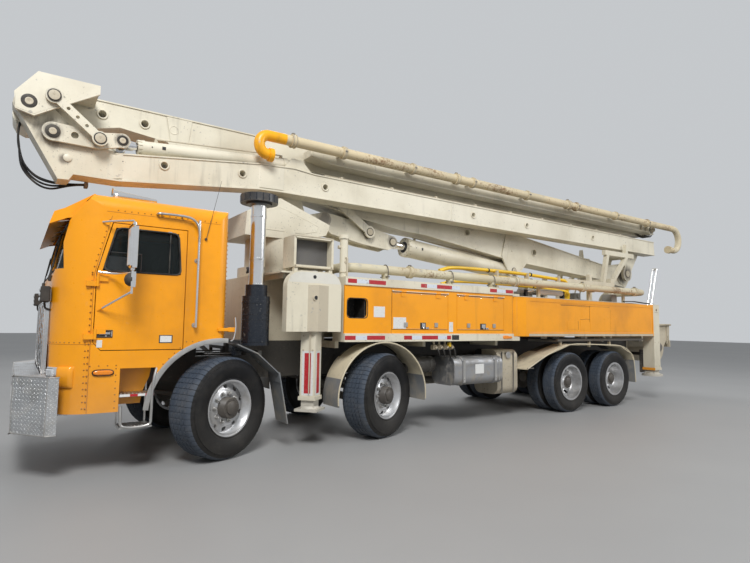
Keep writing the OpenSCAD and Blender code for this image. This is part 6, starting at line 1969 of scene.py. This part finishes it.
@dataclass
class OutriggerTrim:
    """Warning strips, sign bands, bolts, collars and dents of the four outriggers."""

    leg: tuple = (-1000.0, 1114.8)
    half: float = 95.0
    turn: float = math.radians(40)

    def on_leg(self, along: float, across: float, z: float, side: int) -> tuple:
        """A point beside a front leg, in the leg's own directions."""
        c, s = math.cos(self.turn), math.sin(self.turn)
        return (self.leg[0] + along * c - across * s, side * (self.leg[1] + along * s + across * c), z)

    def front(self) -> None:
        """The front legs' strips and collars, the arched heads' band and knobs."""
        for side, word in SIDES:
            arm, foot = "front_arm_" + word, "front_foot_" + word
            red, cream, dark = shapes(3)
            h = self.half
            white = Shape()
            for shape, edge, z0, z1, thick in ((white, 22, 615, 1140, 1.2), (red, 54, 640, 1115, 2.2)):
                a, b = -h + edge, h - edge
                shape.sheet([
                    self.on_leg(h - 0.5, y, z, side) for y, z in ((a, z0), (b, z0), (b, z1), (a, z1))
                ], self.offset(thick, 0, side))
                shape.sheet([
                    self.on_leg(x, h - 0.5, z, side) for x, z in ((a, z0), (b, z0), (b, z1), (a, z1))
                ], self.offset(0, thick, side))
            red.done(f"{arm}_strips", Coat.WARNING, arm, slot="amber_paint")
            white.done(f"{arm}_strip_plates", Coat.PLATE, arm)
            for z in (1150, 1320):
                for across in (-60, 60):
                    base = self.on_leg(h, across, z, side)
                    cream.bolt(base, self.offset(1, 0, side), 13)
            cream.hose([
                self.on_leg(h + 22, 30, 640, side), self.on_leg(h + 24, 30, 900, side),
                self.on_leg(h + 24, 30, 1360, side)
            ], 8, 8, 3)
            y = side * 1250
            for a, b in (((-1330, 1380), (-1330, 1900)), ((-600, 1380), (-600, 1900))):
                cream.weld((a[0], y - side * 2, a[1]), (b[0], y - side * 2, b[1]), 4)
            cream.loops([
                [(x, side * (1249 + out), z) for x, out in ((-869, 0), (-988, 55), (-1154, 0))]
                for z in (1374, 1925)
            ])
            cream.rod((-958, y, 1772), (-958, y + side * 46, 1772), 38, 24)
            # Near-black discs in the boss and above it on the arm: painted shade in the holes.
            dark.rod((-958, y, 1772), (-958, y + side * 48, 1772), 25, 24)
            dark.rod((-958, y - side * 3, 2023), (-958, y + side * 1.4, 2023), 24, 20)
            band = [
                (-617, 1950), (-640, 2020), (-700, 2062), (-780, 2076), (-1150, 2076), (-1230, 2062),
                (-1290, 2020), (-1313, 1950)
            ]
            sign = Shape()
            sign.prism(band, "Y", *sorted((y - side * 2, y + side * 0.8)))
            sign.done(f"{arm}_sign_band", Coat.SIGN, arm)
            cream.done(f"{arm}_bolts", Coat.DIRTY, arm)
            dark.done(f"{arm}_holes", Coat.OPENING, arm)
            pad = Shape()
            for u, v in around(8, 118, 0.4):
                pad.bolt(self.on_leg(u, v, 460, side), (0, 0, 1), 12)
            pad.lathe([(96, 0), (118, 0), (104, 26), (98, 30)], self.on_leg(0, 0, 461, side), "Z", 32)
            pad.done(f"{foot}_collar", Coat.FOOT, foot)

    def offset(self, along: float, across: float, side: int) -> tuple:
        """A short way in a front leg's own directions."""
        c, s = math.cos(self.turn), math.sin(self.turn)
        return (along * c - across * s, side * (along * s + across * c), 0.0)

    def rear(self) -> None:
        """The rear arms' patches and seams, the legs' collars, lamp panels' faces and feet."""
        for side, word in SIDES:
            arm, foot = "rear_arm_" + word, "rear_foot_" + word
            y = side * 1250
            amber, dark, cream = shapes(3)
            face = side * 1244

            def patch(shape: Shape, x: Point, z: Point, out: float) -> None:
                """A thin plate on the arm's recessed face."""
                shape.box(x, (face, face + side * out), z, 0.8)

            patch(amber, (-6160, -5880), (1430, 1560), 3)
            patch(amber, (-6520, -6260), (1420, 1600), 2.5)
            patch(amber, (-6480, -6310), (1640, 1760), 2)
            patch(amber, (-7200, -6560), (1400, 1846), 2.5)
            patch(amber, (-7900, -7210), (1400, 1780), 1.5)
            out = face + side
            for x0, x1, z in ((-5700, -7180, 1850), (-5720, -6600, 1838), (-6550, -6250, 1610)):
                near, far = (x0 * 2 + x1) / 3, (x0 + x1 * 2) / 3
                dark.hose([(x0, out, z), (near, out, z + 6), (far, out, z - 4), (x1, out, z - 2)], 2.4, 5, 5)
            for x, z0, z1 in ((-6200, 1425, 1570), (-6545, 1560, 1860), (-7200, 1405, 1790)):
                dark.hose([(x, out, z0), (x + 4, out, (z0 + z1) / 2), (x - 3, out, z1)], 2.0, 5, 5)
            cream.box((-8720, -4870), (y - side * 3, y + side * 0.8), (1312, 1352), 1)
            cream.weld((-4880, y - side * 8, 1376), (-8700, y - side * 8, 1376), 3)
            for z in range(1360, 1920, 110):
                cream.rivet((-4640, side * 1192, z), (0, side, 0), 9)
            leg_x, leg_y = -8870, side * 1130
            dark.rod((leg_x - 8, y - side * 7, 1842), (leg_x - 8, y - side * 2, 1842), 24, 20)
            cream.box((leg_x - 60, leg_x + 62), (y - side * 6, y + side * 0.5), (1790, 1800), 1)
            for z in (700, 1180):
                for dx in (-70, 70):
                    cream.bolt((leg_x + dx, y - side * 5, z), (0, side, 0), 10)
            cream.hose([
                (leg_x - 132, leg_y, 640), (leg_x - 136, leg_y, 1200), (leg_x - 134, leg_y, 1900),
                (leg_x - 90, leg_y, 1962)
            ], 9, 8, 5)
            amber.done(f"{arm}_patches", Coat.AMBER_TRIM, arm)
            dark.done(f"{arm}_scars", Coat.SCAR, arm)
            cream.done(f"{arm}_edges", Coat.DIRTY, arm)
            pad = Shape()
            pad.lathe([
                (100, 40), (150, 40), (140, 52), (112, 60), (108, 80), (100, 82)
            ], (leg_x, leg_y, 500), "Z", 36)
            for u, v in around(8, 168):
                pad.bolt((leg_x + u, leg_y + v, 540), (0, 0, 1), 12)
            pad.done(f"{foot}_collar", Coat.FOOT, foot)

    def build(self) -> None:
        """Makes all of the outriggers' trim."""
        self.front()
        self.rear()


@dataclass
class RearTrim:
    """Lamps, ladders, gauges, mesh guards and grease lines at the truck's rear."""

    bore_y: float = 180.0
    bore_z: float = 1650.0

    def lamps(self) -> None:
        """Rear lamps, the meshed lamp panels and the blank number plate."""
        red, amber, clear, body, white = shapes(5)
        for shape, z in ((red, 940), (red, 830), (amber, 720), (clear, 630)):
            shape.lathe([
                (48, 0), (48, 12), (40, 20), (14, 25), (0.5, 26)
            ], (-9192, 893, z), "X", 28, closed=False)
            body.lathe([(54, 6), (58, 4), (58, -14), (46, -16), (46, 4)], (-9196, 893, z), "X", 28)
        for k in range(9):
            x = -9170 + k * 38
            body.box((x, x + 8), (905, 913), (560, 1012), 1.5)
        for z in range(575, 1010, 48):
            body.box((-9188, -8852), (905, 911), (z, z + 8), 1.5)
        white.box((-9106, -8986), (911, 915), (700, 930), 2)
        for y in (-600, -450):
            red.lathe([(46, 0), (46, -12), (38, -20), (0.5, -26)], (-10430, y, 1125), "X", 24, closed=False)
        for shape, name, coat in (
            (red, "rear_lamps_red", Coat.LENS_RED), (amber, "rear_lamps_amber", Coat.LENS_AMBER),
            (clear, "rear_lamps_clear", Coat.LENS_CLEAR), (body, "rear_lamp_guards", Coat.WORN_TRIM),
            (white, "rear_placards", Coat.PLATE)
        ):
            shape.twin().done(name, coat)

    def hopper(self) -> None:
        """Ribs, splash curtain, bearings, control box and grease lines of the hopper."""
        ribs, steel, rubber = shapes(3)
        for x in (-10250, -9900, -9500):
            ribs.prism([(x, 1530), (x - 26, 1530), (x - 26, 1150), (x, 1120)], "Y", 749, 768)
        ribs.hose([(-10424, -772, 1556), (-10424, 772, 1556), (-9212, 772, 1556)], 14, 8, 2)
        ribs.hose([(-10424, -772, 1556), (-9212, -772, 1556)], 14, 8, 2)
        ribs.twin().done("hopper_ribs", Coat.DIRTY)
        for s in (1, -1):
            steps = [(94, 0), (94, s * 20), (70, s * 26), (66, s * 40), (0.5, s * 42)]
            steel.lathe(steps, (-9800, s * 812, 1050), "Y", 36, closed=False)
            for u, v in around(6, 80):
                steel.bolt((-9800 + u, s * 830, 1050 + v), (0, s, 0), 13)
        steel.done("agitator_bearings", Coat.WORN_TRIM)
        rubber.box((-10428, -10404), (-700, 700), (1210, 1530), 4)
        for y in (-600, -300, 0, 300, 600):
            rubber.bolt((-10428, y, 1500), (-1, 0, 0), 14)
        rubber.done("hopper_curtain", Coat.HOSE)

    def masts(self) -> None:
        """Slanted chrome masts, the valve block, pressure gauge and hoses by the pump."""
        chrome, grey, hoses, lines = shapes(4)
        for y in (700, 780):
            chrome.rod((-9560, y, 1900), (-9850, y, 2800), 17, 14)
            chrome.rod((-9552, y, 1876), (-9562, y, 1906), 26, 14)
        chrome.rod((-9850, 690, 2800), (-9850, 790, 2800), 15, 12)
        chrome.rod((-9840, 690, 2770), (-9840, 790, 2770), 10, 12)
        grey.box((-9640, -9500), (660, 820), (1550, 1880), 10)
        grey.box((-8780, -8560), (-760, -420), (1980, 2250), 12)
        grey.box((-8100, -7900), (640, 860), (1980, 2140), 10)
        grey.box((-7300, -6960), (-880, -600), (1980, 2230), 14)
        grey.box((-6200, -5700), (-900, -640), (1980, 2180), 14)
        for k in range(5):
            grey.rod((-7280 + k * 70, -740, 2226), (-7280 + k * 70, -740, 2262), 16, 6)
            hoses.hose([
                (-7280 + k * 70, -740, 2258), (-7300 + k * 60, -700, 2330), (-7420 + k * 40, -560, 2300),
                (-7500 + k * 30, -420, 2060), (-7520 + k * 28, -380, 1994)
            ], 12, 8, 6)
        for k in range(4):
            hoses.hose([
                (-5100 + k * 20, 380 - k * 40, 1700), (-4900, 420 - k * 30, 1800),
                (-4750, 300 - k * 40, 1720), (-4640 + k * 6, 260 - k * 50, 1560)
            ], 14, 8, 6)
            hoses.hose([
                (-8200 - k * 30, 930 + k * 4, 2002), (-8500, 960 + k * 14, 2010),
                (-8760, 1010 + k * 12, 1990), (-8872, 1090 + k * 12, 1975)
            ], 9, 8, 5)
        grey.lathe([(44, 0), (50, 4), (50, 22), (44, 26)], (-8680, -420, 2180), "Y", 28, closed=False)
        for k in range(6):
            lines.hose([
                (-9180, -560 + k * 60, 1566), (-9100, -540 + k * 55, 1700), (-8960, -500 + k * 40, 1860),
                (-8860, -480 + k * 34, 1960)
            ], 6, 6, 5)
        chrome.done("rear_masts", Coat.BRIGHT)
        grey.done("valve_blocks", Coat.PUMP)
        hoses.done("rear_hoses", Coat.HOSE)
        lines.done("grease_lines", Coat.DIRTY)

    def pump(self) -> None:
        """Tie rods, flange bolts and pipes round the pumping cylinders."""
        rods, bolts = shapes(2)
        for s in (-1, 1):
            for dy, dz in ((-95, -95), (95, -95), (-95, 95), (95, 95)):
                rods.rod(
                    (-9190, s * self.bore_y + dy, self.bore_z + dz),
                    (-6950, s * self.bore_y + dy, self.bore_z + dz), 14, 10
                )
            for u, v in around(8, 84):
                bolts.bolt((-4780, s * self.bore_y + u, self.bore_z + v), (1, 0, 0), 13)
                bolts.bolt((-6660, s * self.bore_y + u, self.bore_z + v), (1, 0, 0), 13)
        rods.done("pump_tie_rods", Coat.RAIL)
        bolts.done("pump_bolts", Coat.WORN_TRIM)

    def build(self) -> None:
        """Makes all of the rear's trim."""
        self.lamps()
        self.hopper()
        self.masts()
        self.pump()


@dataclass
class Underbody:
    """Air tanks, brake chambers, valves, hoses and fender edges under the deck."""

    arch: tuple = (-2010.0, 545.0, 690.0)

    def tanks(self) -> None:
        """Air reservoirs, step tank bands, battery box latches and the tank's cap."""
        black, steel, white = shapes(3)
        for y in (620, 860):
            steps = [(20, 0), (100, 14), (118, 40), (118, 550), (100, 576), (20, 590)]
            black.lathe(steps, (-3150, y, 900), "X", 32, closed=False)
            for x in (-3030, -2680):
                black.lathe([
                    (119, -14), (123, -12), (123, 12), (119, 14)
                ], (x, y, 900), "X", 32, closed=False)
        steel.box((-4200, -4190), (1216, 1224), (640, 980), 2)
        for x in (-3450, -4110):
            steel.box((x - 22, x + 22), (1226, 1234), (640, 975), 3)
            steel.bolt((x, 1234, 700), (0, 1, 0), 14)
        white.box((-3860, -3680), (1219, 1223), (760, 900), 1)
        steel.rod((-4560, 1056, 1010), (-4560, 1086, 1010), 55, 24)
        for x in (-4700, -4430):
            black.box((x - 16, x + 16), (1058, 1066), (420, 1060), 3)
        black.twin().done("air_tanks", Coat.CHASSIS)
        steel.twin().done("tank_straps", Coat.RAIL)
        white.twin().done("tank_placards", Coat.PLATE)

    def lines(self) -> None:
        """Valves and fittings that hang under the lockers, brake chambers and air hoses."""
        brass, black, amber = shapes(3)
        for k, x in enumerate((-2950, -3050, -3160, -3260)):
            brass.box((x - 34, x + 34), (1090, 1160), (1120, 1190), 8)
            brass.rod((x, 1125, 1190), (x, 1125, 1244), 16, 10)
            brass.rod((x, 1160, 1150), (x, 1196, 1150), 20, 8)
            black.hose([
                (x, 1190, 1150), (x - 20, 1215, 1090), (x - 60, 1180, 1040 - k * 12), (x - 90, 1120, 1120)
            ], 9, 8, 6)
        amber.box((-3220, -3180), (1150, 1200), (1160, 1225), 6)
        for x in (-6060, -7403):
            steps = [(20, 0), (86, 6), (92, 24), (86, 44), (86, 60), (92, 80), (86, 104), (20, 112)]
            black.lathe(steps, (x + 250, 420, 560), "X", 28, closed=False)
            black.rod((x + 120, 420, 560), (x + 250, 420, 560), 12, 10)
            black.hose([(x + 360, 420, 600), (x + 430, 400, 700), (x + 420, 395, 800)], 10, 8, 5)
        for x in (110, -2010):
            black.lathe([
                (20, 0), (78, 6), (84, 24), (78, 60), (20, 70)
            ], (x - 60, 560, 590), "Z", 24, closed=False)
            black.hose([(x - 60, 560, 655), (x - 90, 520, 760), (x - 100, 470, 840)], 10, 8, 5)
        for k in range(3):
            black.hose([
                (60, 395 - k * 14, 1075 + k * 4), (-700, 398 - k * 14, 1080), (-2400, 396 - k * 14, 1076),
                (-4400, 398 - k * 14, 1078), (-6500, 396 - k * 14, 1076), (-8900, 397 - k * 14, 1078)
            ], 8, 6, 8)
        brass.twin().done("valves", Coat.COUPLING)
        black.twin().done("brake_parts", Coat.CHASSIS)
        amber.twin().done("valve_tags", Coat.TUBE_YELLOW)

    def fenders(self) -> None:
        """Rolled edges, brackets' bolts and flaps of the fenders."""
        edge, bolts, flaps = shapes(3)
        x0, z0, r = self.arch
        turns = [math.radians(a) for a in range(-6, 187, 6)]
        edge.hose([(x0 + r * math.cos(t), 1245, z0 + r * math.sin(t)) for t in turns], 9, 8, 1)
        edge.hose([
            (-4830, 1240, 785), (-5350, 1240, 1005), (-5960, 1240, 1165), (-6740, 1240, 1160),
            (-7530, 1240, 1125), (-7880, 1240, 985), (-7988, 1240, 838), (-8036, 1240, 425)
        ], 9, 8, 4)
        for x, z in ((-5880, 1172), (-6730, 1168), (-7380, 1142)):
            for y in (1085, 1115):
                bolts.bolt((x, y, z), (0, 0, 1), 12)
        bolts.box((-4990, -4820), (1238, 1243), (790, 806), 2)
        for y in (900, 1000, 1100):
            bolts.bolt((-572, y, 850), (1, 0, -0.1), 12)
        for z in range(360, 800, 72):
            x = -690 + (z - 310) * 0.198
            flaps.hose([(x - 1, 862, z), (x + 3, 1020, z + 4), (x - 1, 1178, z)], 5, 6, 4)
        for a in range(20, 175, 26):
            t = math.radians(a)
            way = (math.cos(t), 0, math.sin(t))
            bolts.rivet((x0 + r * way[0], 1200, z0 + r * way[2]), way, 8)
        edge.twin().done("fender_edges", Coat.FENDER_EDGE)
        bolts.twin().done("fender_bolts", Coat.WORN_TRIM)
        flaps.twin().done("flap_ribs", Coat.FLAP_RIB)

    def frame(self) -> None:
        """Bolt rows, gussets and the driveline's joints on the chassis rails."""
        bolts, shaft = shapes(2)
        for x in range(-9000, 1300, 260):
            for z in (830, 1010):
                bolts.bolt((x, 430, z), (0, 1, 0), 12)
        for x in (-650, -1500, -2900, -4400, -5350, -6730, -8050):
            for dz in (-60, 0, 60):
                bolts.bolt((x + 40, 430, 920 + dz), (0, 1, 0), 13)
        for x in (-2500, -5650, -7100):
            shaft.lathe(
                [(46, -60), (78, -50), (82, 0), (78, 50), (46, 60)], (x, 0, 560 if x > -6000 else 532), "X",
                24, closed=False
            )
        bolts.twin().done("frame_bolts", Coat.CHASSIS)
        shaft.done("shaft_joints", Coat.WORN_TRIM)

    def build(self) -> None:
        """Makes all of the underbody's trim."""
        self.tanks()
        self.lines()
        self.fenders()
        self.frame()


@dataclass
class Studio:
    """The camera at the photograph's place, the pale floor and the soft lamps."""

    focal_px: float = 520.1
    width_px: float = 750.0
    place: tuple = (6.610, 6.767, 1.470)
    yaw: float = math.radians(34.61)
    pitch: float = math.radians(4.69)
    roll: float = math.radians(0.83)

    def camera(self) -> None:
        """Makes the camera."""
        data = bpy.data.cameras.new("photo_camera")
        data.sensor_width = 36.0
        data.lens = self.focal_px / self.width_px * data.sensor_width
        data.clip_end = 300.0
        camera = link("photo_camera", data)
        ahead = Vector(
            (
                -math.sin(self.yaw) * math.cos(self.pitch), -math.cos(self.yaw) * math.cos(self.pitch),
                math.sin(self.pitch)
            )
        )
        right = ahead.cross(Vector((0, 0, 1))).normalized()
        up = right.cross(ahead)
        c, s = math.cos(self.roll), math.sin(self.roll)
        axes = Matrix((right * c + up * s, up * c - right * s, -ahead)).transposed()
        camera.matrix_world = Matrix.Translation(self.place) @ axes.to_4x4()
        bpy.context.scene.camera = camera

    def floor(self) -> None:
        """Makes the floor, a wide sheet that keeps the truck's shadow."""
        graph = Graph(bpy.data.materials.new("studio_floor"))
        cloud = graph.noise(0.35, 3.0)
        colour = graph.mix(cloud, rgb(0.27, 0.27, 0.27), rgb(0.33, 0.33, 0.325))
        shader = graph.node("ShaderNodeBsdfPrincipled", {}, {"Base Color": colour, "Roughness": 0.55})
        mesh = bpy.data.meshes.new("studio_floor")
        r = 60.0
        mesh.from_pydata([(-r, -r, 0), (r, -r, 0), (r, r, 0), (-r, r, 0)], [], [(0, 1, 2, 3)])
        mesh.materials.append(graph.close(shader))
        link("studio_floor", mesh)

    def lamp(self, name: str, place: Point, target: Point, size: float, watts: float) -> None:
        """Makes one soft square lamp.

        Args:
            name: its name.
            place: where it hangs, in metres.
            target: the point that it faces.
            size: its side.
            watts: its power.
        """
        data = bpy.data.lights.new(name, "AREA")
        data.shape, data.size, data.energy = "SQUARE", size, watts
        lamp = bpy.data.objects.new(name, data)
        bpy.context.scene.collection.objects.link(lamp)
        lamp.location = place
        lamp.rotation_mode = "QUATERNION"
        lamp.rotation_quaternion = (Vector(target) - Vector(place)).to_track_quat("-Z", "Y")

    def light(self) -> None:
        """Sets the world and the lamps."""
        world = bpy.data.worlds.new("studio_world")
        bpy.context.scene.world = world
        world.use_nodes = True
        tree = world.node_tree
        tree.nodes.clear()
        path = tree.nodes.new("ShaderNodeLightPath")
        pair, seen = tree.nodes.new("ShaderNodeMath"), tree.nodes.new("ShaderNodeMath")
        pair.operation = seen.operation = "MAXIMUM"
        tree.links.new(path.outputs["Is Camera Ray"], pair.inputs[0])
        tree.links.new(path.outputs["Is Glossy Ray"], pair.inputs[1])
        tree.links.new(pair.outputs[0], seen.inputs[0])
        tree.links.new(path.outputs["Is Transmission Ray"], seen.inputs[1])
        ambient, backdrop = tree.nodes.new("ShaderNodeBackground"), tree.nodes.new("ShaderNodeBackground")
        ambient.inputs["Color"].default_value = rgb(0.93, 0.96, 1.0)
        ambient.inputs["Strength"].default_value = 0.42
        backdrop.inputs["Color"].default_value = rgb(0.56, 0.58, 0.60)
        backdrop.inputs["Strength"].default_value = 1.0
        mix, out = tree.nodes.new("ShaderNodeMixShader"), tree.nodes.new("ShaderNodeOutputWorld")
        tree.links.new(seen.outputs[0], mix.inputs[0])
        tree.links.new(ambient.outputs[0], mix.inputs[1])
        tree.links.new(backdrop.outputs[0], mix.inputs[2])
        tree.links.new(mix.outputs[0], out.inputs[0])
        middle = (0.0, 0.0, 1.8)
        self.lamp("key_lamp", (9.0, 10.0, 12.0), middle, 4.5, 2100)
        self.lamp("side_lamp", (-8.0, 10.0, 8.0), middle, 6.0, 650)
        self.lamp("far_lamp", (-3.0, -12.0, 10.0), middle, 8.0, 900)

    def build(self) -> None:
        """Sets the whole stage."""
        bpy.context.scene.view_settings.view_transform = "Standard"
        self.camera()
        self.floor()
        self.light()


def main() -> None:
    """Builds the looks in order."""
    logging.basicConfig(level=logging.INFO, format="%(message)s")
    Studio().build()
    FramePaint().dress()
    trims = (RunningGear(), CabTrim(), BoomTrim(), DeckTrim(), OutriggerTrim(), RearTrim(), Underbody())
    for part in trims:
        part.build()
        log.info("%s done", type(part).__name__)


if __name__ == "__main__":
    main()
